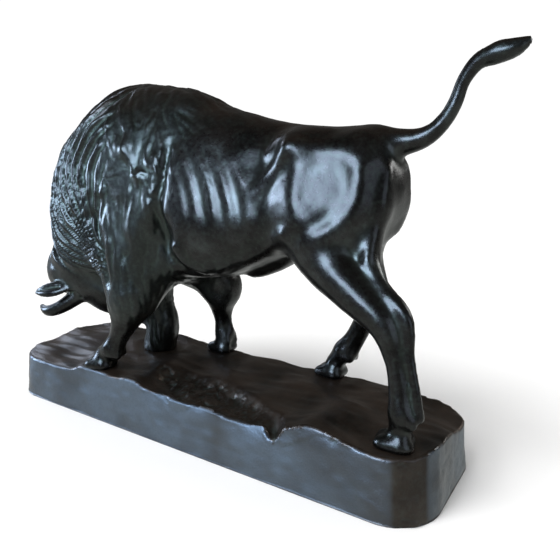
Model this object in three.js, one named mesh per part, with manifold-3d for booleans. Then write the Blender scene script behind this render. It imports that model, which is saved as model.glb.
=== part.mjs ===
// A bison bull standing with its head bowed and its tail raised, cast in bronze, on a rocky plinth.
// The origin is the centre of the plinth's underside. The head is towards -X and the near side is -Y.

import * as THREE from 'three';
import { mergeVertices } from 'three/addons/utils/BufferGeometryUtils.js';
import Module from 'manifold-3d';

// Driving dimensions in millimetres
const figureHeight = 240; // soles to the top of the hump
const plinthHeight = 45; // underside to the soles
const seatGap = 0.3; // between a sole and the ground that it stands on
const frontMargin = 119; // from the near fore hoof to the plinth's front end
const rearMargin = 29.5; // from the near hind hoof to the plinth's rear end
const nearMargin = 14.5; // from the near fore hoof to the plinth's near side
const farMargin = 7; // from the far hind hoof to the plinth's far side
const plinthDraft = 3.5; // how far the sides lean out from top to underside
const frontCornerRadius = 36;
const nearRearRadius = 34; // of the plinth's near rear corner
const farRearRadius = 22;
const cornerCut = 17.5; // how deep the near rear corner is cut to a flat
const cornerTurn = 36; // degrees between that flat and the near side
const edgeRound = 2.5; // round of the plinth's upper edge
const groundSwell = 1.6; // height of the soft waves in the ground
const groundWave = 74; // length of those waves
const rimRise = 8; // how far the plinth's rims rise and fall about the level of the soles
const gougeDepth = 6; // of the broken rock along the near edge
const gougeLength = 138;
const gougeWidth = 46;
const notchDepth = 11; // of the cleft in the near edge
const notchWidth = 9;
const rimLeft = 2; // width of the near rim that stands in front of the gouge
const footingRadius = 17; // of the level ground under a hoof or the beard
const lockPitch = 19; // between two locks of the mane
const lockDepth = 5;
const capeThickness = 2; // of the long coat over the shoulders, where it ends on the flank
const ribDepth = 2;
const ribWidth = 3.6;
const creviceDepth = 3.5; // of the fold between the shoulder and the flank
const facetCut = 2.5; // how much the flat on the haunch takes off
const clootCleft = 2.6; // width of the split between the two toes
const furPitch = 9; // between the tufts of the coat on the shoulders
const furDepth = 1.8;

// Fineness of the facets
const figureCell = 3;
const plinthCell = 4;
const figureFacets = 7400;
const plinthFacets = 2200;

const wasm = await Module();
wasm.setup();

// The pose is set out on a grid that is 240 steps high from the soles to the top of the hump
const step = figureHeight / 240;
const at = (x, y, z) => new THREE.Vector3(x, y, z).multiplyScalar(step);
const mix = THREE.MathUtils.lerp;
const clamp = THREE.MathUtils.clamp;
const smooth = THREE.MathUtils.smoothstep;
const radians = THREE.MathUtils.degToRad;
const spare = 5; // both pieces are carved this much too deep, then sawn flat

// Two surfaces joined with a fillet
function blended(a, b, fillet) {
  const h = Math.max(fillet - Math.abs(a - b), 0) / fillet;
  return Math.min(a, b) - h * h * fillet / 4;
}

// A curve through stations given as [place, value]
function through(stations) {
  const slope = (i) => {
    const low = stations[Math.max(i - 1, 0)];
    const high = stations[Math.min(i + 1, stations.length - 1)];
    return (high[1] - low[1]) / (high[0] - low[0]);
  };
  const slopes = stations.map((_, i) => slope(i));
  return (place) => {
    const x = clamp(place, stations[0][0], stations[stations.length - 1][0]);
    let i = 0;
    while (i < stations.length - 2 && x > stations[i + 1][0]) i += 1;
    const [x0, y0] = stations[i];
    const [x1, y1] = stations[i + 1];
    const w = x1 - x0;
    const t = (x - x0) / w;
    const s = 1 - t;
    return s * s * (1 + 2 * t) * y0 + t * t * (3 - 2 * t) * y1
      + s * s * t * w * slopes[i] - t * t * s * w * slopes[i + 1];
  };
}

// A limb tapers from one round end to the other, and may be flattened along a direction
function limb(from, to, fromRadius, toRadius, flatAlong = null, flatBy = 1) {
  const [r1, r2] = [fromRadius * step, toRadius * step];
  const axis = to.clone().sub(from);
  const l2 = axis.lengthSq();
  const taper = r1 - r2;
  const a2 = l2 - taper * taper;
  const thin = flatAlong ? flatAlong.clone().normalize() : null;
  const stretch = 1 / flatBy - 1;
  const distance = (x, y, z) => {
    let px = x - from.x;
    let py = y - from.y;
    let pz = z - from.z;
    if (thin) {
      const s = (px * thin.x + py * thin.y + pz * thin.z) * stretch;
      px += s * thin.x;
      py += s * thin.y;
      pz += s * thin.z;
    }
    const along = px * axis.x + py * axis.y + pz * axis.z;
    const past = along - l2;
    const qx = px * l2 - axis.x * along;
    const qy = py * l2 - axis.y * along;
    const qz = pz * l2 - axis.z * along;
    const x2 = qx * qx + qy * qy + qz * qz;
    const y2 = along * along * l2;
    const z2 = past * past * l2;
    const k = Math.sign(taper) * taper * taper * x2;
    if (Math.sign(past) * a2 * z2 > k) return (Math.sqrt(x2 + z2) / l2 - r2) * flatBy;
    if (Math.sign(along) * a2 * y2 < k) return (Math.sqrt(x2 + y2) / l2 - r1) * flatBy;
    return ((Math.sqrt(x2 * a2 / l2) + along * taper) / l2 - r1) * flatBy;
  };
  const middle = from.clone().add(to).multiplyScalar(0.5);
  const reach = from.distanceTo(to) / 2 + Math.max(r1, r2);
  return { distance, middle, reach };
}

// A muscle is an egg: its radii along, across and up, tilted about the Y axis
function muscle(centre, along, across, up, tilt = 0) {
  const [a, b, c] = [along * step, across * step, up * step];
  const [ct, st] = [Math.cos(radians(tilt)), Math.sin(radians(tilt))];
  const distance = (x, y, z) => {
    const dx = x - centre.x;
    const dy = y - centre.y;
    const dz = z - centre.z;
    const ey = dy / b;
    const fx = (dx * ct + dz * st) / a;
    const fz = (dz * ct - dx * st) / c;
    const k0 = Math.sqrt(fx * fx + ey * ey + fz * fz);
    const k1 = Math.sqrt(fx * fx / (a * a) + ey * ey / (b * b) + fz * fz / (c * c));
    return k0 < 1e-6 ? -Math.min(a, b, c) : k0 * (k0 - 1) / k1;
  };
  return { distance, middle: centre, reach: Math.max(a, b, c) };
}

// A tube runs smoothly through [point, radius] places, and may be flattened along a direction
function tube(places, flatAlong = null, flatBy = 1) {
  const smoothly = (points) => new THREE.CatmullRomCurve3(points, false, 'catmullrom', 0.5);
  const path = smoothly(places.map(([point]) => point));
  const radii = smoothly(places.map(([, radius]) => new THREE.Vector3(radius * step, 0, 0)));
  const pieces = 5 * (places.length - 1);
  const spots = path.getPoints(pieces);
  const radius = radii.getPoints(pieces).map((point) => point.x);
  const middle = spots.reduce((sum, spot) => sum.add(spot), new THREE.Vector3()).divideScalar(spots.length);
  const reach = Math.max(...spots.map((spot, i) => spot.distanceTo(middle) + radius[i]));
  const thin = flatAlong ? flatAlong.clone().normalize() : new THREE.Vector3();
  const stretched = (v) => v.addScaledVector(thin, v.dot(thin) * (1 / flatBy - 1));
  const starts = spots.map((spot) => stretched(spot.clone().sub(middle)));
  const axes = starts.slice(1).map((spot, i) => spot.clone().sub(starts[i]));
  const squares = axes.map((axis) => axis.lengthSq());
  const q = new THREE.Vector3();
  const distance = (x, y, z) => {
    stretched(q.set(x, y, z).sub(middle));
    let nearest = Infinity;
    for (let i = 0; i < pieces; i += 1) {
      const [a, axis] = [starts[i], axes[i]];
      const [dx, dy, dz] = [q.x - a.x, q.y - a.y, q.z - a.z];
      const t = clamp((dx * axis.x + dy * axis.y + dz * axis.z) / squares[i], 0, 1);
      const [ex, ey, ez] = [dx - t * axis.x, dy - t * axis.y, dz - t * axis.z];
      const away = Math.sqrt(ex * ex + ey * ey + ez * ez) - mix(radius[i], radius[i + 1], t);
      if (away < nearest) nearest = away;
    }
    return nearest * flatBy;
  };
  return { distance, middle, reach };
}

// A group of forms joined with one fillet, or none; forms too far off to matter are passed over
function group(forms, fillet) {
  const blend = fillet * step;
  return (x, y, z, start = Infinity) => {
    let d = start;
    for (const form of forms) {
      const { middle } = form;
      const [dx, dy, dz] = [x - middle.x, y - middle.y, z - middle.z];
      const room = d + blend + form.reach;
      if (room < 0 || dx * dx + dy * dy + dz * dz > room * room) continue;
      const other = form.distance(x, y, z);
      d = d === Infinity || blend === 0 ? Math.min(d, other) : blended(d, other, blend);
    }
    return d;
  };
}

// The trunk: its outline from the rump to the breast, and how wide it is
const stations = (list) => list.map(([x, value]) => [x * step, value * step]);
const backLine = through(stations([[-115, 196], [-90, 219], [-60, 231], [-30, 230], [0, 223.5],
  [32, 214.5], [66, 206.5], [105, 201], [132, 194.5], [153, 183]]));
const bellyLine = through(stations([[-115, 92], [-90, 78], [-50, 76], [-15, 82], [25, 88],
  [62, 103], [95, 112], [140, 122], [153, 140]]));
const halfWidth = through(stations([[-115, 34], [-90, 42], [-45, 47], [0, 47], [35, 43],
  [70, 36], [105, 33], [132, 27], [153, 14]]));
const trunkFront = -115 * step;
const trunkRear = 156 * step;
const backNarrowing = 0.3; // the back is this much narrower than the barrel
const squareness = 2.3; // of the trunk's section: 2 is an ellipse
const endRound = 26 * step;

function trunk(x, y, z) {
  const top = backLine(x);
  const bottom = bellyLine(x);
  const half = (top - bottom) / 2;
  const rise = (z - (top + bottom) / 2) / half;
  const width = halfWidth(x) * (1 - backNarrowing * clamp(rise, -0.6, 1));
  const across = Math.abs(y) / width;
  const round = (across ** squareness + Math.abs(rise) ** squareness) ** (1 / squareness);
  const d = (round - 1) * Math.min(width, half);
  return -blended(-d, blended(x - trunkFront, trunkRear - x, endRound), endRound);
}

// The two sides share their masses and differ in how the legs are placed
const near = -1;
const far = 1;
const sideways = new THREE.Vector3(0, 1, 0);

const masses = [near, far].flatMap((side) => [
  muscle(at(-74, side * 24, 144), 44, 21, 68, 8), // shoulder
  muscle(at(-72, side * 28, 106), 26, 17, 36), // upper arm
  muscle(at(111, side * 21, 152), 35, 17, 41, 18), // haunch
  muscle(at(137, side * 13, 164), 16.5, 12.5, 33), // buttock
  muscle(at(93, side * 29, 187), 8, 6, 6, -20), // hip bone
]);

const neck = [
  limb(at(-82, 0, 175), at(-110, 0, 153), 54.5, 52, sideways, 0.84),
  limb(at(-110, 0, 153), at(-133, -1, 124), 52, 43, sideways, 0.84),
  limb(at(-131, -1, 124), at(-163, -2, 84), 42, 28, sideways, 0.86),
  muscle(at(-90, 0, 104), 36, 28, 36), // breast
];

const head = [
  limb(at(-178, -2, 70), at(-134, 3, 55), 27, 22, sideways, 0.94),
  limb(at(-134, 3, 55), at(-102, 8, 41), 21, 15, sideways, 0.9),
  muscle(at(-150, -14, 68), 20, 11, 18), // near cheek
  muscle(at(-150, 16, 68), 20, 11, 18), // far cheek
];

const beardPlaces = [
  [at(-92, 8, 64), 20],
  [at(-84, 13, 42), 16],
  [at(-80, 15, 24), 14.8],
  [at(-84, 16, 8), 15.2],
  [at(-86, 17, 2), 15.6],
];

const horns = [near, far].map((side) => tube([
  [at(-156, side * 16 - 2, 50), 8.5],
  [at(-171, side * 27 - 2, 38), 6.6],
  [at(-186, side * 32 - 2, 33), 5],
  [at(-200, side * 30 - 2, 37), 1.6],
]));

const ears = [near, far].map((side) => tube([
  [at(-156, side * 22 - 2, 61), 4],
  [at(-168, side * 30 - 2, 57.5), 7.6],
  [at(-181, side * 35 - 2, 54.5), 7],
  [at(-197, side * 39 - 2, 51), 1.4],
], new THREE.Vector3(0.2, side, 0.75), 0.46));

const sheath = tube([
  [at(80, 0, 122), 12],
  [at(62, 0, 106), 10],
  [at(46, 0, 95), 6.5],
  [at(38, 0, 90.5), 3.4],
]);

// The tail rises in an S and ends in a leaf-shaped tuft
const tail = tube([
  [at(140, 0, 190), 11], [at(163, 1, 192), 7.6], [at(174, 1, 196), 6], [at(182, 1, 203), 5.1],
  [at(188.5, 1, 214), 4.4], [at(193, 1, 227), 4.2], [at(201, 1, 237), 4.9], [at(212, 1, 241), 6.4],
  [at(220, 1, 243), 5.4], [at(229, 1, 247), 1.6],
]);

// A leg is its joints from top to fetlock, the tendon behind them, then the hoof
const legs = {
  nearFore: {
    joints: [[at(-72, -26, 118), 25], [at(-62, -32, 86), 24], [at(-60, -38, 65), 19.5],
      [at(-66, -42, 46), 12.5], [at(-73, -44, 31), 8.6], [at(-80, -46, 18), 9.4]],
    tendon: [[at(-58, -41, 50), 5], [at(-66, -43, 34), 3.2], [at(-74, -45, 20), 4]],
    hoof: at(-95, -47, 0), toe: 200,
  },
  farFore: {
    joints: [[at(-54, 26, 112), 20], [at(-35, 31, 82), 19.5], [at(-25, 37, 65), 19],
      [at(-28, 41, 46), 11.5], [at(-29, 43, 30), 7.6], [at(-28, 44, 17), 9]],
    tendon: [[at(-21, 41, 50), 5], [at(-22, 43, 33), 3], [at(-21, 44, 19), 4]],
    hoof: at(-31, 44, 0), toe: 180,
  },
  nearHind: {
    joints: [[at(108, -16, 148), 28], [at(114, -24, 118), 20], [at(141, -33, 97), 14.5],
      [at(164, -37, 80), 10.5], [at(173, -39, 60), 6.8], [at(177, -40, 42), 6.6], [at(180, -40, 25), 8.6]],
    tendon: [[at(142, -22, 122), 9], [at(157, -31, 103), 6.4], [at(178, -37, 86), 4.8],
      [at(183, -39, 62), 3.2], [at(188, -40, 42), 3], [at(191, -40, 24), 3.8]],
    hoof: at(176, -38, 0), toe: 190,
  },
  farHind: {
    joints: [[at(104, 16, 140), 28], [at(110, 27, 110), 23], [at(118, 36, 88), 15.5],
      [at(123, 41, 70), 11.2], [at(113, 44, 49), 7.6], [at(105, 46, 35), 7.4], [at(98, 46, 23), 9.6]],
    tendon: [[at(122, 32, 104), 9], [at(130, 37, 88), 6], [at(133, 41, 71), 4.6], [at(124, 44, 54), 3.2],
      [at(113, 46, 36), 3.2], [at(106, 46, 22), 4]],
    hoof: at(86, 46, 0), toe: 180,
  },
};

// A hoof is two toes side by side with a dewclaw above each heel, turned to point along its toe angle
const toeSpread = 3.6 + clootCleft / step / 2;
const upright = new THREE.Vector3(0, 0, 1);

function hoof({ hoof: place, toe, joints }) {
  const [fetlock] = joints[joints.length - 1];
  const ahead = new THREE.Vector3(Math.cos(radians(toe)), Math.sin(radians(toe)), 0);
  const across = new THREE.Vector3(-ahead.y, ahead.x, 0);
  const from = (along, side, up) => place.clone()
    .addScaledVector(ahead, along * step).addScaledVector(across, side * step).add(at(0, 0, up));
  const pastern = limb(fetlock, from(-3, 0, 11), 8, 7.8);
  const toes = [-1, 1].flatMap((side) => [
    limb(from(-4, side * toeSpread, 5), from(8, side * toeSpread, 3.5), 6.4, 4.4),
    limb(from(-6, side * toeSpread, 2), from(9, side * toeSpread, 1.6), 6.6, 4.8, upright, 0.5), // its rim
  ]);
  const dewclaws = [-1, 1].map((side) => {
    const heel = fetlock.clone().addScaledVector(across, 5 * side * step);
    const [top, tip] = [[6, 3], [9, 8]].map(([back, down]) =>
      heel.clone().addScaledVector(ahead, -back * step).addScaledVector(upright, -down * step));
    return limb(top, tip, 3.4, 2.2);
  });
  return [pastern, ...toes, ...dewclaws];
}

const feet = Object.values(legs);
const soleHeight = plinthHeight;

const broadGroup = group([...masses, ...neck], 20);
const headGroup = group([...head, tube(beardPlaces)], 12);
const legGroup = group(feet.map(({ joints }) => tube(joints)), 0);
const tendonGroup = group(feet.map(({ tendon }) => tube(tendon)), 2.5);
const hoofGroup = group(feet.flatMap(hoof), 2.2);
const hornGroup = group([...horns, ...ears], 2.5);
const tailGroup = group([tail], 6);

// Locks of the mane start at the crest and run down and back over both sides of the neck
const maneHub = at(-60, 0, 95);
const crestRadius = 122 * step;
const lockSlant = 1.3; // how far a lock drops for each step that it takes away from the crest

function maneLocks(x, y, z) {
  const cover = smooth(-x, 66 * step, 96 * step) * smooth(z, 70 * step, 96 * step);
  if (cover === 0) return 0;
  const [outX, outZ] = [maneHub.x - x, z - maneHub.z];
  const fromCrest = Math.abs(y) + 0.7 * Math.max(0, crestRadius - Math.hypot(outX, outZ));
  const drop = lockSlant * fromCrest + 3 * step * Math.sin(fromCrest / (9 * step));
  const phase = (Math.atan2(outZ, outX) * crestRadius + drop) / lockPitch;
  return cover * lockDepth * (Math.sqrt(Math.abs(Math.sin(Math.PI * phase))) - 0.72);
}

// How near a place on the animal's side is to a path of [x, z] points: 1 on it, 0 beyond its half width
function nearPath(x, z, path, width) {
  let nearest = Infinity;
  for (let i = 1; i < path.length; i += 1) {
    const [[ax, az], [bx, bz]] = [path[i - 1], path[i]];
    const [dx, dz] = [bx - ax, bz - az];
    const t = clamp(((x - ax) * dx + (z - az) * dz) / (dx * dx + dz * dz), 0, 1);
    nearest = Math.min(nearest, Math.hypot(x - ax - t * dx, z - az - t * dz));
  }
  return 1 - smooth(nearest, 0, width);
}

// Lines that show on both sides; a height above zero stands proud and one below zero is cut in
const lines = [
  // Below the hip bone, and the edge of the loin
  { path: [[92, 190], [83, 177], [72, 165], [64, 157], [56, 158]], width: 8, height: 2.2 },
  { path: [[72, 184], [76, 194], [83, 199], [95, 202], [112, 200]], width: 7, height: 1.6 },
  // Crease of the thigh, and its rear edge
  { path: [[104, 131], [114, 137], [124, 144]], width: 8, height: -1.3 },
  { path: [[148, 172], [147, 150], [141, 120]], width: 8, height: -1.2 },
  { path: [[157, 176], [156, 150], [149, 116]], width: 6, height: 1.4 },
  // Lower edge of the barrel, and the fold above the belly
  {
    path: [[-3, 114], [4, 102], [15, 95], [32, 98], [53, 106], [73, 118], [92, 130]],
    width: 9,
    height: 2.4,
  },
  { path: [[-12, 104], [12, 85], [34, 88], [56, 96], [80, 108]], width: 8, height: -2.5 },
  // Between the neck and the upper arm
  { path: [[-80, 132], [-75, 114], [-72, 100], [-68, 82]], width: 8, height: -4.5 },
];

// Knots of muscle under the coat: the place of each on the side, its radius and how far it stands out
const knots = [[-52, 187, 13, 2.4], [-35, 167, 9, 3], [-23, 177, 8, 1.6], [-73, 155, 9, 1.8],
  [-96, 165, 11, 1.8], [-113, 137, 11, 1.8], [-127, 122, 8, 1.6]];

function carving(x, y, z) {
  const aside = smooth(Math.abs(y), 8 * step, 16 * step);
  const [u, v] = [x / step, z / step];
  let height = 0;
  for (const { path, width, height: rise } of lines) height += rise * step * nearPath(u, v, path, width);
  for (const [a, c, radius, rise] of knots) {
    height += rise * step * (1 - smooth(Math.hypot(u - a, v - c) / radius, 0, 1));
  }
  const hollow = 1 - smooth(Math.hypot((u - 59) / 15, (v - 177) / 12), 0.2, 1); // in front of the hip bone
  return aside * (height - 3 * step * hollow);
}

// Ribs show on the flank behind the shoulder: the place of each along it, and its share of the depth
const ribPlaces = [[5, 0.5], [16, 0.9], [31, 1], [44, 1], [58, 0.7]];

function ribs(x, y, z) {
  const cover = smooth(z, 122 * step, 146 * step) * (1 - smooth(z, 166 * step, 192 * step))
    * smooth(Math.abs(y), 16 * step, 26 * step);
  if (cover === 0) return 0;
  const above = z - 156 * step;
  const lean = x + 0.4 * above + 0.008 * above * above / step;
  let rise = -0.4 * smooth(lean, 6 * step, 16 * step) * (1 - smooth(lean, 52 * step, 62 * step));
  for (const [place, share] of ribPlaces) {
    const away = (lean - place * step) / ribWidth;
    rise += share * Math.exp(-away * away);
  }
  return cover * ribDepth * rise;
}

// The long coat over the shoulders and forearms lies in tufts, and ends on the flank
// in a ragged edge and a fold
const capeEdge = through(stations([[60, -20], [92, -16], [110, -20], [145, -18], [168, -16],
  [181, -15], [193, -10], [205, 4], [225, 24]]));

function coat(x, y, z) {
  const edge = capeEdge(z) + 1.6 * Math.sin(2 * Math.PI * z / furPitch);
  const softness = mix(4, 40, smooth(z, 188 * step, 212 * step)) * step;
  const cover = (1 - smooth(x, edge - softness, edge)) * smooth(z, 44 * step, 60 * step);
  const fold = Math.max(0, 1 - Math.abs(x - edge - 2 * step) / (5 * step))
    * smooth(z, 100 * step, 120 * step) * (1 - smooth(z, 186 * step, 204 * step));
  const bend = Math.sin((x - z) / (2.2 * furPitch)) * furPitch / 3;
  const tufts = Math.sin(2 * Math.PI * (x + 0.35 * z + bend) / furPitch)
    * (0.6 + 0.4 * Math.sin(2 * Math.PI * (z + bend) / (2.6 * furPitch)));
  const fade = 1 - 0.85 * smooth(-x, 55 * step, 85 * step);
  return cover * fade * (capeThickness + furDepth * tufts / 2) - creviceDepth * fold;
}

// Behind each foreleg the chest is hollow, so that the upper arm stands clear of it
const armpits = [near, far].map((side) => muscle(at(-20, side * 62, 106), 18, 26, 38, -10));

// The broad flat on each haunch
const facetNormal = new THREE.Vector3(0.26, 0.93, 0.26).normalize();
const facetPlace = at(118, 40, 158);
const facetHalf = [27, 33]; // its half length and half height, in steps

function haunchFlat(x, y, z, d) {
  const away = Math.hypot((x - facetPlace.x) / facetHalf[0], (z - facetPlace.z) / facetHalf[1]) / step;
  const cover = 1 - smooth(away, 0.45, 1.2);
  if (cover === 0) return d;
  const plane = facetNormal.x * (x - facetPlace.x) + facetNormal.y * (Math.abs(y) - facetPlace.y)
    + facetNormal.z * (z - facetPlace.z) + facetCut;
  return mix(d, -blended(-d, -plane, 3 * step), cover);
}

// The whole figure as one field: below zero inside, above zero outside, in millimetres
const carvingReach = 14; // further off the skin than this, the carving is not worked out
function figure(x, y, z) {
  let d = blended(trunk(x, y, z), broadGroup(x, y, z), 16 * step);
  for (const armpit of armpits) d = -blended(-d, armpit.distance(x, y, z), 9 * step);
  d = blended(d, tendonGroup(x, y, z, legGroup(x, y, z)), 14 * step);
  d = haunchFlat(x, y, z, d);
  const close = d < carvingReach;
  if (close) d -= maneLocks(x, y, z) + ribs(x, y, z) + carving(x, y, z);
  d = blended(d, headGroup(x, y, z), 9 * step);
  if (close) d -= coat(x, y, z);
  d = blended(d, sheath.distance(x, y, z), 8 * step);
  d = hoofGroup(x, y, z, d);
  d = hornGroup(x, y, z, d);
  d = tailGroup(x, y, z, d);
  return Math.max(d, -spare - z);
}

// The plinth is set out from the hooves and the margins around them
const [nearFore, farHind, nearHind] = [legs.nearFore.hoof, legs.farHind.hoof, legs.nearHind.hoof];
const plinthLength = nearHind.x - nearFore.x + frontMargin + rearMargin;
const plinthWidth = farHind.y - nearFore.y + nearMargin + farMargin;
const figurePlace = new THREE.Vector3(
  plinthLength / 2 - rearMargin - nearHind.x,
  plinthWidth / 2 - farMargin - farHind.y,
  soleHeight,
);
const beardFoot = beardPlaces[beardPlaces.length - 1][0];
const footings = [...feet.map((leg) => leg.hoof), beardFoot]
  .map((foot) => new THREE.Vector2(foot.x + figurePlace.x, foot.y + figurePlace.y));

// Each rim of the plinth rises and falls along its length: shares of half the length, and of the rise
const rim = (list) => through(list.map(([share, rise]) =>
  [share * plinthLength / 2, plinthHeight + rise * rimRise]));
const nearRim = rim([[-0.95, -0.88], [-0.54, -0.69], [-0.3, -0.19], [-0.2, 0.19], [-0.13, -0.25],
  [-0.02, -0.44], [0.15, -0.19], [0.38, -0.44], [0.51, 0], [0.6, 0.75], [0.74, 0.25], [0.86, 0.38],
  [0.99, 0.88]]);
const farRim = rim([[-0.95, -0.25], [-0.37, 0.25], [0, -0.12], [0.63, 0.12], [0.86, -0.38],
  [0.99, -1.1]]);

// The gouge along the near rim drifts towards it on its way back, and ends in a notch
const gougePlace = new THREE.Vector2(0.0525 * plinthLength, -plinthWidth / 2 + 0.53 * gougeWidth);
const gougeDrift = -0.2;
const notchPlace = 0.24 * plinthLength;

// Cracked rock: each of these slabs is a plane, and the rock is the lowest of them
const slabs = Array.from({ length: 9 }, (_, i) => ({
  turn: i * 2.4,
  steep: 0.16 + 0.05 * (i % 4),
  x: gougeLength * (0.5 * Math.sin(i * 1.7)),
  y: gougeWidth * (0.35 * Math.cos(i * 2.9)),
}));

function brokenRock(x, y) {
  const low = slabs.map(({ turn, steep, x: sx, y: sy }) =>
    steep * Math.abs((x - sx) * Math.cos(turn) + (y - sy) * Math.sin(turn)));
  return Math.min(...low);
}

function ground(x, y) {
  const nearSide = -plinthWidth / 2;
  const swell = groundSwell * Math.sin(2 * Math.PI * (x + 0.6 * y) / groundWave)
    * Math.cos(2 * Math.PI * (y - 0.2 * x) / (0.9 * groundWave));
  let height = mix(nearRim(x), farRim(x), smooth(y, nearSide, 0.4 * plinthWidth))
    + swell * smooth(y, nearSide, 0.6 * nearSide);
  const [gx, gy] = [x - gougePlace.x, y - gougePlace.y - gougeDrift * (x - gougePlace.x)];
  const fromMiddle = 2 * Math.hypot(gx / gougeLength, gy / gougeWidth);
  const gouge = 1 - smooth(fromMiddle, 0.65, 1.1);
  const behindRim = smooth(y, nearSide + rimLeft, nearSide + 4.5 * rimLeft);
  height -= gouge * behindRim * (gougeDepth - brokenRock(gx, gy));
  const cleft = Math.max(0, 1 - Math.abs(x - notchPlace + 0.55 * (y - nearSide)) / notchWidth);
  height -= notchDepth * cleft * (1 - smooth(y, nearSide + 4, nearSide + 26));
  for (const footing of footings) {
    const level = smooth(Math.hypot(x - footing.x, y - footing.y), footingRadius, 1.8 * footingRadius);
    height = mix(soleHeight - seatGap, height, level);
  }
  return height;
}

// The plinth as a field: a rounded rectangle with leaning sides under the ground
function plinthField(x, y, z) {
  const lean = plinthDraft * (1 - z / plinthHeight);
  const rearRadius = mix(nearRearRadius, farRearRadius, smooth(y, -plinthWidth / 8, plinthWidth / 8));
  const radius = mix(frontCornerRadius, rearRadius, smooth(x, -plinthLength / 4, plinthLength / 4));
  const qx = Math.abs(x) - plinthLength / 2 - lean + plinthDraft + radius;
  const qy = Math.abs(y) - plinthWidth / 2 - lean + plinthDraft + radius;
  const outside = Math.hypot(Math.max(qx, 0), Math.max(qy, 0)) + Math.min(Math.max(qx, qy), 0) - radius;
  const corner = (x - plinthLength / 2) * Math.sin(radians(cornerTurn))
    - (y + plinthWidth / 2) * Math.cos(radians(cornerTurn)) + cornerCut - lean;
  const side = Math.max(outside, corner);
  const above = z - ground(x, y);
  const a = side + edgeRound;
  const b = above + edgeRound;
  const upper = Math.hypot(Math.max(a, 0), Math.max(b, 0)) + Math.min(Math.max(a, b), 0) - edgeRound;
  return Math.max(upper, -spare - z);
}

// Turns a field into a closed mesh. Each cube of the grid is six tetrahedra around its long diagonal.
function meshOf(field, low, high, cell) {
  const corners = [[0, 0, 0], [1, 0, 0], [0, 1, 0], [1, 1, 0], [0, 0, 1], [1, 0, 1], [0, 1, 1], [1, 1, 1]];
  const tetrahedra = [[0, 1, 3, 7], [0, 3, 2, 7], [0, 2, 6, 7], [0, 6, 4, 7], [0, 4, 5, 7], [0, 5, 1, 7]];
  const size = high.clone().sub(low).divideScalar(cell).ceil().addScalar(1);
  const [nx, ny, nz] = size.toArray();
  const values = new Float32Array(nx * ny * nz).fill(NaN);
  const node = (i, j, k) => (k * ny + j) * nx + i;
  const block = 4;
  const margin = cell * block;
  for (let k = 0; k < nz; k += block) {
    for (let j = 0; j < ny; j += block) {
      for (let i = 0; i < nx; i += block) {
        const [x, y, z] = [i, j, k].map((n) => (n + block / 2) * cell);
        const middle = field(low.x + x, low.y + y, low.z + z);
        const skip = Math.abs(middle) > 1.5 * margin;
        for (let c = k; c < Math.min(k + block, nz); c += 1) {
          for (let b = j; b < Math.min(j + block, ny); b += 1) {
            for (let a = i; a < Math.min(i + block, nx); a += 1) {
              const value = skip ? middle : field(low.x + a * cell, low.y + b * cell, low.z + c * cell);
              values[node(a, b, c)] = value;
            }
          }
        }
      }
    }
  }
  const points = [];
  const faces = [];
  const made = new Map();
  const crossing = (p, q) => {
    const [a, b] = p.id < q.id ? [p, q] : [q, p];
    const key = a.id * 8 + (b.i - a.i) + 2 * (b.j - a.j) + 4 * (b.k - a.k);
    let index = made.get(key);
    if (index === undefined) {
      const t = clamp(a.value / (a.value - b.value), 0.02, 0.98);
      index = points.length / 3;
      const place = [mix(a.i, b.i, t), mix(a.j, b.j, t), mix(a.k, b.k, t)];
      points.push(low.x + place[0] * cell, low.y + place[1] * cell, low.z + place[2] * cell);
      made.set(key, index);
    }
    return index;
  };
  for (let k = 0; k < nz - 1; k += 1) {
    for (let j = 0; j < ny - 1; j += 1) {
      for (let i = 0; i < nx - 1; i += 1) {
        const first = values[node(i, j, k)] < 0;
        let same = true;
        for (const [a, b, c] of corners) if (values[node(i + a, j + b, k + c)] < 0 !== first) same = false;
        if (same) continue;
        const cube = corners.map(([a, b, c]) => {
          const id = node(i + a, j + b, k + c);
          return { id, i: i + a, j: j + b, k: k + c, value: values[id] };
        });
        for (const tetrahedron of tetrahedra) {
          const four = tetrahedron.map((n) => cube[n]);
          const inside = four.filter((v) => v.value < 0);
          const outside = four.filter((v) => v.value >= 0);
          if (inside.length === 0 || outside.length === 0) continue;
          const out = new THREE.Vector3();
          for (const v of outside) out.add(new THREE.Vector3(v.i, v.j, v.k).divideScalar(outside.length));
          for (const v of inside) out.sub(new THREE.Vector3(v.i, v.j, v.k).divideScalar(inside.length));
          let loop;
          if (inside.length === 1) loop = outside.map((v) => crossing(inside[0], v));
          else if (outside.length === 1) loop = inside.map((v) => crossing(v, outside[0]));
          else {
            loop = [crossing(inside[0], outside[0]), crossing(inside[0], outside[1]),
              crossing(inside[1], outside[1]), crossing(inside[1], outside[0])];
          }
          for (let n = 2; n < loop.length; n += 1) {
            const triangle = [loop[0], loop[n - 1], loop[n]];
            const [a, b, c] = triangle.map((v) => new THREE.Vector3().fromArray(points, v * 3));
            const normal = b.sub(a).cross(c.sub(a));
            faces.push(...(normal.dot(out) > 0 ? triangle : [triangle[0], triangle[2], triangle[1]]));
          }
        }
      }
    }
  }
  return { points, faces };
}

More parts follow.
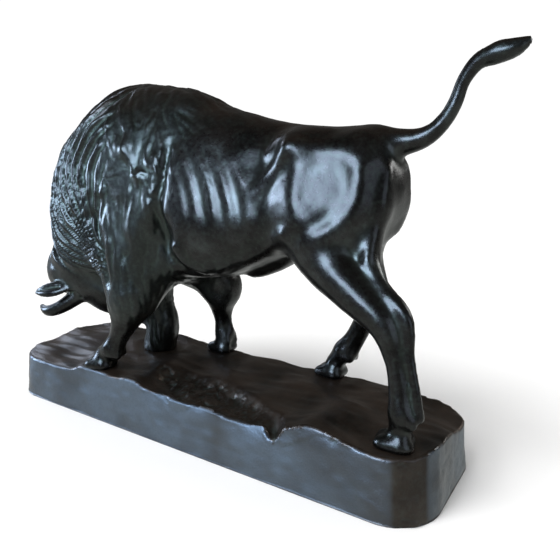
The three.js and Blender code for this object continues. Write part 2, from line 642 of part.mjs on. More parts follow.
// Merges short and flat edges, the least noticeable first, until so many facets are left
function simplified({ points, faces }, facetsLeft) {
  const count = points.length / 3;
  const position = Float64Array.from(points);
  const quadrics = new Float64Array(count * 10);
  const around = Array.from({ length: count }, () => new Set());
  const triangle = Int32Array.from(faces);
  const alive = new Uint8Array(triangle.length / 3).fill(1);
  const version = new Int32Array(count);
  const cross = (a, b, c) => {
    const ux = position[b * 3] - position[a * 3];
    const uy = position[b * 3 + 1] - position[a * 3 + 1];
    const uz = position[b * 3 + 2] - position[a * 3 + 2];
    const vx = position[c * 3] - position[a * 3];
    const vy = position[c * 3 + 1] - position[a * 3 + 1];
    const vz = position[c * 3 + 2] - position[a * 3 + 2];
    return [uy * vz - uz * vy, uz * vx - ux * vz, ux * vy - uy * vx];
  };
  for (let f = 0; f < alive.length; f += 1) {
    const [a, b, c] = [triangle[f * 3], triangle[f * 3 + 1], triangle[f * 3 + 2]];
    const n = cross(a, b, c);
    const area = Math.hypot(...n);
    if (area > 0) {
      const [nx, ny, nz] = n.map((v) => v / area);
      const d = -(nx * position[a * 3] + ny * position[a * 3 + 1] + nz * position[a * 3 + 2]);
      const plane = [nx * nx, nx * ny, nx * nz, nx * d, ny * ny, ny * nz, ny * d, nz * nz, nz * d, d * d];
      for (const v of [a, b, c]) for (let q = 0; q < 10; q += 1) quadrics[v * 10 + q] += plane[q] * area;
    }
    for (const v of [a, b, c]) around[v].add(f);
  }
  const errorAt = (q, x, y, z) => q[0] * x * x + 2 * q[1] * x * y + 2 * q[2] * x * z + 2 * q[3] * x
    + q[4] * y * y + 2 * q[5] * y * z + 2 * q[6] * y + q[7] * z * z + 2 * q[8] * z + q[9];
  const bestPlace = (a, b) => {
    const q = new Float64Array(10);
    for (let i = 0; i < 10; i += 1) q[i] = quadrics[a * 10 + i] + quadrics[b * 10 + i];
    const [ax, ay, az] = position.subarray(a * 3, a * 3 + 3);
    const [bx, by, bz] = position.subarray(b * 3, b * 3 + 3);
    const length = Math.hypot(ax - bx, ay - by, az - bz);
    const options = [[ax, ay, az], [bx, by, bz], [(ax + bx) / 2, (ay + by) / 2, (az + bz) / 2]];
    const det = q[0] * (q[4] * q[7] - q[5] * q[5]) - q[1] * (q[1] * q[7] - q[5] * q[2])
      + q[2] * (q[1] * q[5] - q[4] * q[2]);
    if (Math.abs(det) > 1e-4 * Math.pow(q[0] + q[4] + q[7], 3)) {
      const x = -(q[3] * (q[4] * q[7] - q[5] * q[5]) - q[1] * (q[6] * q[7] - q[5] * q[8])
        + q[2] * (q[6] * q[5] - q[4] * q[8])) / det;
      const y = -(q[0] * (q[6] * q[7] - q[8] * q[5]) - q[3] * (q[1] * q[7] - q[5] * q[2])
        + q[2] * (q[1] * q[8] - q[6] * q[2])) / det;
      const z = -(q[0] * (q[4] * q[8] - q[5] * q[6]) - q[1] * (q[1] * q[8] - q[2] * q[6])
        + q[3] * (q[1] * q[5] - q[4] * q[2])) / det;
      const away = Math.hypot(x - options[2][0], y - options[2][1], z - options[2][2]);
      if (away < 1.5 * length) options.push([x, y, z]);
    }
    let best = null;
    for (const [x, y, z] of options) {
      const error = errorAt(q, x, y, z);
      if (!best || error < best.error) best = { error, place: [x, y, z] };
    }
    best.error = Math.max(best.error, 0) + 1e-4 * length * length;
    return best;
  };
  const heap = [];
  const push = (entry) => {
    let i = heap.length;
    heap.push(entry);
    while (i > 0) {
      const parent = (i - 1) >> 1;
      if (heap[parent].error <= entry.error) break;
      heap[i] = heap[parent];
      i = parent;
    }
    heap[i] = entry;
  };
  const pop = () => {
    const top = heap[0];
    const last = heap.pop();
    let i = 0;
    while (heap.length > 0) {
      let child = 2 * i + 1;
      if (child >= heap.length) break;
      if (child + 1 < heap.length && heap[child + 1].error < heap[child].error) child += 1;
      if (heap[child].error >= last.error) break;
      heap[i] = heap[child];
      i = child;
    }
    if (heap.length > 0) heap[i] = last;
    return top;
  };
  const offer = (a, b) => {
    const best = bestPlace(a, b);
    push({ error: best.error, place: best.place, a, b, stamp: version[a] + version[b] });
  };
  const neighbours = (v) => {
    const set = new Set();
    for (const f of around[v]) for (let n = 0; n < 3; n += 1) set.add(triangle[f * 3 + n]);
    set.delete(v);
    return set;
  };
  for (let v = 0; v < count; v += 1) for (const w of neighbours(v)) if (w > v) offer(v, w);
  const turnsOver = (moved, other, place) => {
    for (const f of around[moved]) {
      const [a, b, c] = [triangle[f * 3], triangle[f * 3 + 1], triangle[f * 3 + 2]];
      if (a === other || b === other || c === other) continue;
      const before = cross(a, b, c);
      const kept = position.slice(moved * 3, moved * 3 + 3);
      position.set(place, moved * 3);
      const after = cross(a, b, c);
      position.set(kept, moved * 3);
      const dot = before[0] * after[0] + before[1] * after[1] + before[2] * after[2];
      if (dot < 0.35 * Math.hypot(...before) * Math.hypot(...after)) return true;
      if (Math.hypot(...after) < 1e-3) return true;
    }
    return false;
  };
  let left = alive.length;
  while (left > facetsLeft && heap.length > 0) {
    const { a, b, place, stamp } = pop();
    if (around[a].size === 0 || around[b].size === 0 || version[a] + version[b] !== stamp) continue;
    const shared = [...neighbours(a)].filter((v) => neighbours(b).has(v));
    if (shared.length !== 2 || turnsOver(a, b, place) || turnsOver(b, a, place)) continue;
    position.set(place, a * 3);
    for (let i = 0; i < 10; i += 1) quadrics[a * 10 + i] += quadrics[b * 10 + i];
    for (const f of around[b]) {
      const own = triangle.subarray(f * 3, f * 3 + 3);
      if (own.includes(a)) {
        alive[f] = 0;
        left -= 1;
        for (const v of own) if (v !== b) around[v].delete(f);
      } else {
        own[own.indexOf(b)] = a;
        around[a].add(f);
      }
    }
    around[b].clear();
    version[a] += 1;
    version[b] += 1;
    for (const v of neighbours(a)) offer(a, v);
  }
  const kept = [];
  for (let f = 0; f < alive.length; f += 1) if (alive[f]) kept.push(...triangle.subarray(f * 3, f * 3 + 3));
  const names = new Map();
  const out = [];
  const index = kept.map((v) => {
    if (!names.has(v)) {
      names.set(v, names.size);
      out.push(position[v * 3], position[v * 3 + 1], position[v * 3 + 2]);
    }
    return names.get(v);
  });
  const geometry = new THREE.BufferGeometry();
  geometry.setAttribute('position', new THREE.Float32BufferAttribute(out, 3));
  geometry.setIndex(index);
  return geometry;
}

function solidOf(geometry) {
  const bare = geometry.clone();
  bare.deleteAttribute('normal');
  bare.deleteAttribute('uv');
  const merged = mergeVertices(bare, 1e-4);
  return new wasm.Manifold(new wasm.Mesh({
    numProp: 3,
    vertProperties: new Float32Array(merged.attributes.position.array),
    triVerts: new Uint32Array(merged.index.array),
  }));
}

function geometryOf(solid) {
  const { vertProperties, triVerts } = solid.getMesh();
  const geometry = new THREE.BufferGeometry();
  geometry.setAttribute('position', new THREE.BufferAttribute(vertProperties, 3));
  geometry.setIndex(new THREE.BufferAttribute(triVerts, 1));
  return geometry;
}

// Saws everything off below a level
function sawnFlat(geometry, level) {
  geometry.computeBoundingBox();
  const { min, max } = geometry.boundingBox;
  const size = max.clone().sub(min).addScalar(2 * spare);
  const depth = level - min.z + spare;
  const block = new THREE.BoxGeometry(size.x, size.y, depth);
  block.translate((min.x + max.x) / 2, (min.y + max.y) / 2, level - depth / 2);
  return geometryOf(solidOf(geometry).subtract(solidOf(block)));
}

const patina = new THREE.MeshStandardMaterial({
  name: 'bronze', color: 0x3d3c38, roughness: 0.36, metalness: 0.85,
});
const groundPatina = new THREE.MeshStandardMaterial({
  name: 'ground_bronze', color: 0x46423c, roughness: 0.45, metalness: 0.8,
});

const [figureLow, figureHigh] = [at(-225, -72, -12), at(243, 72, 264)]; // room for the whole pose
const figureShape = simplified(meshOf(figure, figureLow, figureHigh, figureCell), figureFacets);
const bull = new THREE.Mesh(sawnFlat(figureShape, 0), patina);
bull.name = 'bull';
bull.position.copy(figurePlace);

const plinthHigh = new THREE.Vector3(plinthLength / 2, plinthWidth / 2, plinthHeight + 2 * rimRise)
  .addScalar(2 * spare);
const plinthLow = plinthHigh.clone().negate().setZ(-2 * spare);
const plinthShape = simplified(meshOf(plinthField, plinthLow, plinthHigh, plinthCell), plinthFacets);
const plinth = new THREE.Mesh(sawnFlat(plinthShape, 0), groundPatina);
plinth.name = 'plinth';

const sculpture = new THREE.Group();
sculpture.add(plinth, bull);

export default sculpture;
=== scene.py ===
import math

import bmesh
import bpy
import numpy as np
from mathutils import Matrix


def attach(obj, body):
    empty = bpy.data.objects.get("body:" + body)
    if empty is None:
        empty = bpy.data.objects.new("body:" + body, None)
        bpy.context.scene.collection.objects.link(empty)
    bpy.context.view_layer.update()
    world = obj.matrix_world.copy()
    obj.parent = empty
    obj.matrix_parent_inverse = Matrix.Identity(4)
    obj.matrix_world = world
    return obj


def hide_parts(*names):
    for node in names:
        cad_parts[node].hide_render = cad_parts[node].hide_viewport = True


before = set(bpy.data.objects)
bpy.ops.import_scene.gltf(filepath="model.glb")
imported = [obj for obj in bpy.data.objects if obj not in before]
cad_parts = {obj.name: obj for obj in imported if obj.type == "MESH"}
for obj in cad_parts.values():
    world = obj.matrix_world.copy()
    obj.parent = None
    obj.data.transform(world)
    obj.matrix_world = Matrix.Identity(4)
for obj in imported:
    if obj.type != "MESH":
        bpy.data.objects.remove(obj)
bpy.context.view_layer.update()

# A bison bull in patinated bronze on a rocky plinth.
# Each fine surface is sculpted over a copy of the frame's solid: remeshed, drawn onto the flowing form
# that the solid approximates, and then carved with hair, creases and broken rock.

metre = 0.001  # lengths in this script are millimetres

# Camera at the photograph's viewing angle

cameraSettings = {
    "place": (295.55, -351.15, 231.3),
    "azimuth": 32.72,
    "pitch": 13.07,
    "lens": 36.0,
    "sensor": 36.0,
}


def addCamera(settings):
    data = bpy.data.cameras.new("camera")
    data.lens = settings["lens"]
    data.sensor_width = settings["sensor"]
    data.clip_start = 0.02
    data.clip_end = 20
    camera = bpy.data.objects.new("camera", data)
    bpy.context.scene.collection.objects.link(camera)
    camera.location = [metre * value for value in settings["place"]]
    camera.rotation_euler = (math.radians(90 - settings["pitch"]), 0, math.radians(settings["azimuth"]))
    bpy.context.scene.camera = camera


addCamera(cameraSettings)
print("camera placed")


# Curves, blends and noise that the sculpting works with

def smoothStep(x, low, high):
    t = np.clip((x - low) / (high - low), 0, 1)
    return t * t * (3 - 2 * t)


def mix(a, b, t):
    return a + (b - a) * t


def blended(a, b, fillet):
    h = np.maximum(fillet - np.abs(a - b), 0) / fillet
    return np.minimum(a, b) - h * h * fillet / 4


def curveThrough(points):
    places = np.array([point[0] for point in points], float)
    values = np.array([point[1] for point in points], float)
    slopes = np.empty(len(places))
    for i in range(len(places)):
        low, high = max(i - 1, 0), min(i + 1, len(places) - 1)
        slopes[i] = (values[high] - values[low]) / (places[high] - places[low])

    def curve(x):
        x = np.clip(x, places[0], places[-1])
        i = np.clip(np.searchsorted(places, x) - 1, 0, len(places) - 2)
        width = places[i + 1] - places[i]
        t = (x - places[i]) / width
        s = 1 - t
        return (s * s * (1 + 2 * t) * values[i] + t * t * (3 - 2 * t) * values[i + 1]
                + s * s * t * width * slopes[i] - t * t * s * width * slopes[i + 1])
    return curve


noiseTable = np.random.default_rng(5).uniform(-1, 1, (32, 32, 32))


def noise(p, size):
    # smooth random values between -1 and 1 that change over a distance of size
    q = p / size
    cell = np.floor(q).astype(int)
    f = q - cell
    f = f * f * (3 - 2 * f)
    total = 0
    for dx in (0, 1):
        for dy in (0, 1):
            for dz in (0, 1):
                weight = (np.abs(1 - dx - f[:, 0]) * np.abs(1 - dy - f[:, 1]) * np.abs(1 - dz - f[:, 2]))
                total = total + weight * noiseTable[(cell[:, 0] + dx) % 32, (cell[:, 1] + dy) % 32,
                                                    (cell[:, 2] + dz) % 32]
    return total


def nearPath(u, v, path, width):
    # 1 on a path of points, falling to 0 at its half width
    nearest = np.full(len(u), 1e9)
    for (au, av), (bu, bv) in zip(path, path[1:]):
        du, dv = bu - au, bv - av
        t = np.clip(((u - au) * du + (v - av) * dv) / (du * du + dv * dv), 0, 1)
        nearest = np.minimum(nearest, np.hypot(u - au - t * du, v - av - t * dv))
    return 1 - smoothStep(nearest, 0, width)


# Forms: each is its middle, its reach and a function that gives the distance to its skin

def limb(start, end, startRadius, endRadius, flatAlong=None, flatBy=1.0):
    a, b = np.array(start, float), np.array(end, float)
    axis = b - a
    l2 = axis @ axis
    taper = startRadius - endRadius
    a2 = l2 - taper * taper

    def distance(p):
        q = p - a
        if flatAlong is not None:
            thin = np.array(flatAlong, float) / np.linalg.norm(flatAlong)
            q = q + np.outer(q @ thin, thin) * (1 / flatBy - 1)
        along = q @ axis
        past = along - l2
        x2 = ((q * l2 - np.outer(along, axis)) ** 2).sum(1)
        y2 = along * along * l2
        z2 = past * past * l2
        k = np.sign(taper) * taper * taper * x2
        side = np.sqrt(x2 * a2 / l2) + along * taper
        out = np.where(np.sign(along) * a2 * y2 < k, np.sqrt(x2 + y2), side) / l2 - startRadius
        return np.where(np.sign(past) * a2 * z2 > k, np.sqrt(x2 + z2) / l2 - endRadius, out) * flatBy
    return (a + b) / 2, math.sqrt(l2) / 2 + max(startRadius, endRadius), distance


def muscle(centre, along, across, up, tilt=0.0):
    c = np.array(centre, float)
    ct, st = math.cos(math.radians(tilt)), math.sin(math.radians(tilt))
    radii = np.array([along, across, up], float)

    def distance(p):
        q = p - c
        e = np.stack([q[:, 0] * ct + q[:, 2] * st, q[:, 1], q[:, 2] * ct - q[:, 0] * st], 1) / radii
        k0 = np.sqrt((e * e).sum(1))
        k1 = np.sqrt(((e / radii) ** 2).sum(1)) + 1e-12
        return np.where(k0 < 1e-6, -radii.min(), k0 * (k0 - 1) / k1)
    return c, float(radii.max()), distance


def smoothRun(places, steps):
    # a smooth run of points and radii through the places given
    knots = np.array([(*point, radius) for point, radius in places], float)
    padded = np.concatenate([2 * knots[:1] - knots[1:2], knots, 2 * knots[-1:] - knots[-2:-1]])
    run = []
    for a, b, c, d in zip(padded, padded[1:], padded[2:], padded[3:]):
        for t in np.arange(steps) / steps:
            run.append(0.5 * (2 * b + (c - a) * t + (2 * a - 5 * b + 4 * c - d) * t * t
                              + (3 * b - a - 3 * c + d) * t ** 3))
    return np.array(run + [knots[-1]])


def tube(places, flatAlong=None, flatBy=1.0, steps=5):
    run = smoothRun(places, steps)
    middle = run[:, :3].mean(0)
    reach = float((np.linalg.norm(run[:, :3] - middle, axis=1) + run[:, 3]).max())
    squash = np.eye(3)
    if flatAlong is not None:
        thin = np.array(flatAlong, float) / np.linalg.norm(flatAlong)
        squash += (1 / flatBy - 1) * np.outer(thin, thin)
    spots = (run[:, :3] - middle) @ squash

    def distance(p):
        q = (p - middle) @ squash
        nearest = np.full(len(p), 1e3)
        for a, b, ra, rb in zip(spots, spots[1:], run[:, 3], run[1:, 3]):
            axis = b - a
            t = np.clip((q - a) @ axis / (axis @ axis), 0, 1)
            away = np.sqrt(((q - a - t[:, None] * axis) ** 2).sum(1))
            nearest = np.minimum(nearest, away - mix(ra, rb, t))
        return nearest * flatBy
    return middle, reach, distance


def joined(p, d, forms, fillet):
    # forms too far off to matter are passed over
    for middle, reach, distance in forms:
        room = np.maximum(d + fillet + reach, 0)
        near = np.nonzero(((p - middle) ** 2).sum(1) < room * room)[0]
        if len(near):
            other = distance(p[near])
            d[near] = blended(d[near], other, fillet) if fillet else np.minimum(d[near], other)
    return d


# The bull. Its places are set out from the soles and the animal's midline; the head is towards -X.

bull = {
    "place": (4.25, 4.25, 45.0),  # of the midline at the soles, in the frame
    "voxel": 1.72,
    "backLine": [(-115, 196), (-90, 219), (-60, 231), (-30, 230), (0, 223.5), (32, 214.5), (66, 206.5),
                 (105, 201), (132, 194.5), (153, 183)],
    "bellyLine": [(-115, 92), (-90, 78), (-50, 76), (-15, 82), (25, 88), (62, 103), (95, 112), (140, 122),
                  (153, 140)],
    "halfWidth": [(-115, 34), (-90, 42), (-45, 47), (0, 47), (35, 43), (70, 36), (105, 33), (132, 27),
                  (153, 14)],
    "beard": [((-92, 8, 64), 20), ((-84, 13, 42), 16), ((-80, 15, 24), 14.8), ((-84, 16, 8), 15.2),
              ((-86, 17, 2), 15.6)],
    "tail": [((140, 0, 190), 11), ((163, 1, 192), 7.6), ((174, 1, 196), 6), ((182, 1, 203), 5.1),
             ((188.5, 1, 214), 4.4), ((193, 1, 227), 4.2), ((201, 1, 237), 4.9), ((212, 1, 241), 6.4),
             ((220, 1, 243), 5.4), ((229, 1, 247), 1.6)],
    "legs": [
        {"joints": [((-72, -26, 118), 25), ((-62, -32, 86), 24), ((-60, -38, 65), 19.5),
                    ((-66, -42, 46), 12.5), ((-73, -44, 31), 8.6), ((-80, -46, 18), 9.4)],
         "tendon": [((-58, -41, 50), 5), ((-66, -43, 34), 3.2), ((-74, -45, 20), 4)],
         "hoof": (-95, -47, 0), "toe": 200},
        {"joints": [((-54, 26, 112), 20), ((-35, 31, 82), 19.5), ((-25, 37, 65), 19), ((-28, 41, 46), 11.5),
                    ((-29, 43, 30), 7.6), ((-28, 44, 17), 9)],
         "tendon": [((-21, 41, 50), 5), ((-22, 43, 33), 3), ((-21, 44, 19), 4)],
         "hoof": (-31, 44, 0), "toe": 180},
        {"joints": [((108, -16, 148), 28), ((114, -24, 118), 20), ((141, -33, 97), 14.5),
                    ((164, -37, 80), 10.5), ((173, -39, 60), 6.8), ((177, -40, 42), 6.6),
                    ((180, -40, 25), 8.6)],
         "tendon": [((142, -22, 122), 9), ((157, -31, 103), 6.4), ((178, -37, 86), 4.8),
                    ((183, -39, 62), 3.2), ((188, -40, 42), 3), ((191, -40, 24), 3.8)],
         "hoof": (176, -38, 0), "toe": 190},
        {"joints": [((104, 16, 140), 28), ((110, 27, 110), 23), ((118, 36, 88), 15.5), ((123, 41, 70), 11.2),
                    ((113, 44, 49), 7.6), ((105, 46, 35), 7.4), ((98, 46, 23), 9.6)],
         "tendon": [((122, 32, 104), 9), ((130, 37, 88), 6), ((133, 41, 71), 4.6), ((124, 44, 54), 3.2),
                    ((113, 46, 36), 3.2), ((106, 46, 22), 4)],
         "hoof": (86, 46, 0), "toe": 180},
    ],
    "toeSpread": 4.9,
    "capeThickness": 2.0,
    "creviceDepth": 3.5,
    "ribs": [(5, 0.5), (16, 0.9), (31, 1.0), (44, 1.0), (58, 0.7)],  # place on the flank, share of the depth
    "ribWidth": 3.6,
    "ribDepth": 1.7,
    "flankHollow": 0.9,
    "facetPlace": (118, 40, 158),
    "facetFacing": (0.26, 0.93, 0.26),
    "facetCut": 2.5,
    "fillets": {"masses": 20, "trunk": 16, "armpits": 9, "tendons": 2.5, "legs": 14, "beard": 12, "head": 9,
                "sheath": 8, "feet": 3.5, "horns": 2.5, "earHollows": 1.5, "tail": 6},
}

backLine = curveThrough(bull["backLine"])
bellyLine = curveThrough(bull["bellyLine"])
halfWidth = curveThrough(bull["halfWidth"])
sides = (-1, 1)
sideways = (0, 1, 0)


def trunk(p):
    x, y, z = p.T
    top, bottom = backLine(x), bellyLine(x)
    half = (top - bottom) / 2
    rise = (z - (top + bottom) / 2) / half
    width = halfWidth(x) * (1 - 0.3 * np.clip(rise, -0.6, 1))
    d = ((np.abs(y / width) ** 2.3 + np.abs(rise) ** 2.3) ** (1 / 2.3) - 1) * np.minimum(width, half)
    return -blended(-d, blended(x + 115, 156 - x, 26), 26)


def hoofForms(leg):
    place, fetlock = np.array(leg["hoof"], float), np.array(leg["joints"][-1][0], float)
    turn = math.radians(leg["toe"])
    ahead = np.array([math.cos(turn), math.sin(turn), 0])
    across = np.array([-ahead[1], ahead[0], 0])
    up = np.array([0, 0, 1])

    def at(along, side, height):
        return place + along * ahead + side * across + height * up
    forms = [limb(fetlock, at(-3, 0, 11), 8, 7.8)]
    for side in sides:
        spread = side * bull["toeSpread"]
        forms.append(limb(at(-4, spread, 5), at(8, spread, 3.5), 6.4, 4.4))
        forms.append(limb(at(-6, spread, 2), at(9, spread, 1.6), 6.6, 4.8, up, 0.5))  # the rim of the claw
        forms.append(limb(fetlock + 5 * side * across - 3 * up - 6 * ahead,
                          fetlock + 6 * side * across - 8 * up - 9 * ahead, 3.4, 2.2))  # dewclaw
    return forms


masses = [form for side in sides for form in (
    muscle((-74, side * 24, 144), 44, 21, 68, 8),  # shoulder
    muscle((-72, side * 28, 106), 26, 17, 36),  # upper arm
    muscle((111, side * 21, 152), 35, 17, 41, 18),  # haunch
    muscle((137, side * 13, 164), 16.5, 12.5, 33),  # buttock
    muscle((93, side * 29, 187), 8, 6, 6, -20),  # hip bone
)]
neck = [
    limb((-82, 0, 175), (-110, 0, 153), 54.5, 52, sideways, 0.84),
    limb((-110, 0, 153), (-133, -1, 124), 52, 43, sideways, 0.84),
    limb((-131, -1, 124), (-163, -2, 84), 42, 28, sideways, 0.86),
    muscle((-90, 0, 104), 36, 28, 36),
]
head = [
    limb((-178, -2, 70), (-134, 3, 55), 27, 22, sideways, 0.94),
    limb((-134, 3, 55), (-102, 8, 41), 21, 15, sideways, 0.9),
    muscle((-150, -14, 68), 20, 11, 18),
    muscle((-150, 16, 68), 20, 11, 18),
]
horns = [tube([((-156, side * 16 - 2, 50), 8.5), ((-171, side * 27 - 2, 38), 6.6),
               ((-186, side * 32 - 2, 33), 5), ((-200, side * 30 - 2, 37), 1.6)]) for side in sides]
ears = [tube([((-156, side * 22 - 2, 61), 4), ((-168, side * 30 - 2, 57.5), 7.6),
              ((-181, side * 35 - 2, 54.5), 7), ((-197, side * 39 - 2, 51), 1.4)],
             (0.2, side, 0.75), 0.46) for side in sides]
earHollows = [tube([((-167, side * 32.5 - 2, 60), 2.4), ((-181, side * 37.5 - 2, 57), 2.2),
                    ((-190, side * 39 - 2, 54), 1.2)]) for side in sides]
armpits = [muscle((-20, side * 62, 106), 18, 26, 38, -10) for side in sides]
sheath = tube([((80, 0, 122), 12), ((62, 0, 106), 10), ((46, 0, 95), 6.5), ((38, 0, 90.5), 3.4)])
legForms = [tube(leg["joints"], steps=9) for leg in bull["legs"]]
tendonForms = [tube(leg["tendon"]) for leg in bull["legs"]]
footForms = [form for leg in bull["legs"] for form in hoofForms(leg)]
beard = tube(bull["beard"])
tail = tube(bull["tail"])

# Lines on both sides of the body: a height above zero stands proud and one below zero is cut in
barrelEdge = {"path": [(-3, 114), (4, 102), (15, 95), (32, 98), (53, 106), (73, 118), (92, 130)],
              "width": 9, "height": 2.4}
bodyLines = [
    barrelEdge,
    {"path": [(92, 190), (83, 177), (72, 165), (65, 158)], "width": 8, "height": 1.8},  # under the hip
    {"path": [(72, 184), (76, 194), (83, 199), (95, 202), (112, 200)], "width": 7, "height": 1.6},  # loin
    {"path": [(104, 131), (114, 137), (124, 144)], "width": 8, "height": -1.3},  # crease of the thigh
    {"path": [(148, 172), (147, 150), (141, 120)], "width": 8, "height": -1.2},
    {"path": [(157, 176), (156, 150), (149, 116)], "width": 6, "height": 1.4},  # rear edge of the thigh
    {"path": [(-12, 104), (12, 85), (34, 88), (56, 96), (80, 108)],
     "width": 8, "height": -2.5},  # groove below that edge
    {"path": [(-80, 132), (-75, 114), (-72, 100), (-68, 82)], "width": 8, "height": -4.5},  # neck against arm
]
# Knots of muscle under the coat: place on the side, radius and how far each stands out
knots = [(-52, 187, 13, 2.4), (-35, 167, 9, 3), (-23, 177, 8, 1.6), (-73, 155, 9, 1.8), (-96, 165, 11, 1.8),
         (-113, 137, 11, 1.8), (-127, 122, 8, 1.6)]
capeEdge = curveThrough([(60, -20), (92, -16), (110, -20), (145, -18), (168, -16), (181, -15), (193, -10),
                         (205, 4), (225, 24)])


def bodyCarving(p):
    x, y, z = p.T
    height = np.zeros(len(p))
    for line in bodyLines:
        height += line["height"] * nearPath(x, z, line["path"], line["width"])
    for a, c, radius, rise in knots:
        height += rise * (1 - smoothStep(np.hypot(x - a, z - c) / radius, 0, 1))
    hollow = 1 - smoothStep(np.hypot((x - 59) / 15, (z - 177) / 12), 0.2, 1)
    return smoothStep(np.abs(y), 8, 16) * (height - bull["flankHollow"] * hollow)


face = {
    "eyePlace": (-151, 52),
    "eyeSize": (4.6, 3.4),
    "eyeSlant": 0.3,
    "eyeHeight": 1.5,
    "lidHeight": 1.3,
    "nostrilPlace": (-93, 33),
    "nostrilSize": (3.4, 4.6),
    "nostrilDepth": 2.4,
    "mouth": [(-86, 42), (-100, 46), (-116, 53)],
    "mouthWidth": 3.2,
    "mouthDepth": 1.4,
}


def faceCarving(p):
    # eyes with their lids, nostrils and the line of the mouth, on both sides of the bowed head
    x, y, z = p.T
    aside = smoothStep(np.abs(y + 1), 8, 13)
    fromEyeX, fromEyeZ = x - face["eyePlace"][0], z - face["eyePlace"][1]
    fromEyeZ = fromEyeZ + face["eyeSlant"] * fromEyeX
    eye = np.hypot(fromEyeX / face["eyeSize"][0], fromEyeZ / face["eyeSize"][1])
    height = face["eyeHeight"] * (1 - smoothStep(eye, 0, 0.8))
    height -= face["lidHeight"] * np.exp(-((eye - 0.95) / 0.25) ** 2)  # the groove between eye and lids
    height += face["lidHeight"] * np.exp(-((eye - 1.5) / 0.35) ** 2)
    nostril = np.hypot((x - face["nostrilPlace"][0]) / face["nostrilSize"][0],
                       (z - face["nostrilPlace"][1]) / face["nostrilSize"][1])
    height -= face["nostrilDepth"] * (1 - smoothStep(nostril, 0.3, 1))
    height -= face["mouthDepth"] * nearPath(x, z, face["mouth"], face["mouthWidth"])
    return aside * height * (1 - smoothStep(z, 62, 70)) * smoothStep(-x, 82, 88)


def ribs(p):
    x, y, z = p.T
    lean = x + 0.4 * (z - 156) + 0.008 * (z - 156) ** 2
    high = z + 0.25 * (x - 30)  # the rear ribs show lower down than the front ones
    cover = smoothStep(z, 122, 146) * (1 - smoothStep(high, 164, 190)) * smoothStep(np.abs(y), 16, 26)
    rise = -0.4 * smoothStep(lean, 6, 16) * (1 - smoothStep(lean, 52, 62))
    for place, share in bull["ribs"]:
        rise = rise + share * np.exp(-((lean - place) / bull["ribWidth"]) ** 2)
    return cover * bull["ribDepth"] * rise


def coatCover(p):
    # how far the coat's pad covers each place, and the crevice along its rear edge
    x, _, z = p.T
    edge = capeEdge(z) + 2.6 * noise(p, 15)
    soft = mix(5, 40, smoothStep(z, 186, 212))
    cover = (1 - smoothStep(x, edge - soft, edge)) * smoothStep(z, 44, 60)
    fold = ((1 - smoothStep(np.abs(x - edge - 2), 0, 7))
            * smoothStep(z, 100, 120) * (1 - smoothStep(z, 178, 200)))
    return cover, fold


def haunchFlat(p, d):
    # planes the side of the haunch down to the broad facet that catches the light
    fromPlace = np.stack([p[:, 0], np.abs(p[:, 1]), p[:, 2]], 1) - bull["facetPlace"]
    cover = 1 - smoothStep(np.hypot(fromPlace[:, 0] / 25, fromPlace[:, 2] / 32), 0.5, 1.2)
    normal = np.array(bull["facetFacing"])
    normal /= np.linalg.norm(normal)
    plane = fromPlace @ normal + bull["facetCut"]
    return mix(d, -blended(-d, -plane, 3), cover)


def bullField(p):
    fillets = bull["fillets"]
    masswork = joined(p, np.full(len(p), 1e3), masses + neck, fillets["masses"])
    d = blended(trunk(p), masswork, fillets["trunk"])
    for armpit in armpits:
        d = -blended(-d, armpit[2](p), fillets["armpits"])
    legs = joined(p, np.full(len(p), 1e3), legForms, 0)
    legs = joined(p, legs, tendonForms, fillets["tendons"])
    d = blended(d, legs, fillets["legs"])
    d = haunchFlat(p, d)
    d = d - ribs(p) - bodyCarving(p)
    headwork = joined(p, np.full(len(p), 1e3), head + [beard], fillets["beard"]) - faceCarving(p)
    d = blended(d, headwork, fillets["head"])
    cover, fold = coatCover(p)
    d = d - bull["capeThickness"] * cover + bull["creviceDepth"] * fold
    d = blended(d, sheath[2](p), fillets["sheath"])
    d = joined(p, d, footForms, fillets["feet"])
    d = joined(p, d, horns + ears, fillets["horns"])
    for hollow in earHollows:
        d = -blended(-d, hollow[2](p), fillets["earHollows"])
    return joined(p, d, [tail], fillets["tail"])


def gradient(field, p, d, h=0.15):
    slope = np.empty_like(p)
    for axis in range(3):
        q = p.copy()
        q[:, axis] += h
        slope[:, axis] = (field(q) - d) / h
    return slope


def drawnOnto(field, p, rounds, reach):
    # walks each point along the slope of the field until it lies on the form's skin
    for _ in range(rounds):
        d = field(p)
        slope = gradient(field, p, d)
        steepness = np.maximum((slope ** 2).sum(1), 0.05)
        move = -slope * (d / steepness)[:, None]
        length = np.linalg.norm(move, axis=1, keepdims=True) + 1e-9
        p = p + move * np.minimum(1, reach / length)
    slope = gradient(field, p, field(p))
    return p, slope / (np.linalg.norm(slope, axis=1, keepdims=True) + 1e-9)


def remeshed(name, node, voxel):
    mesh = node.data.copy()
    work = bmesh.new()
    work.from_mesh(mesh)
    bmesh.ops.remove_doubles(work, verts=work.verts, dist=1e-6)
    work.to_mesh(mesh)
    work.free()
    piece = bpy.data.objects.new(name, mesh)
    bpy.context.scene.collection.objects.link(piece)
    mesh.materials.clear()
    evened(piece, voxel)
    return piece


def evened(piece, voxel):
    # gives a piece an even skin of small faces
    old = piece.data
    modifier = piece.modifiers.new("remesh", "REMESH")
    modifier.mode = "VOXEL"
    modifier.voxel_size = voxel * metre
    modifier.adaptivity = 0
    bpy.context.view_layer.update()
    evaluated = piece.evaluated_get(bpy.context.evaluated_depsgraph_get())
    fine = bpy.data.meshes.new_from_object(evaluated)
    piece.modifiers.clear()
    piece.data = fine
    fine.name = piece.name
    fine.polygons.foreach_set("use_smooth", np.ones(len(fine.polygons), bool))
    bpy.data.meshes.remove(old)


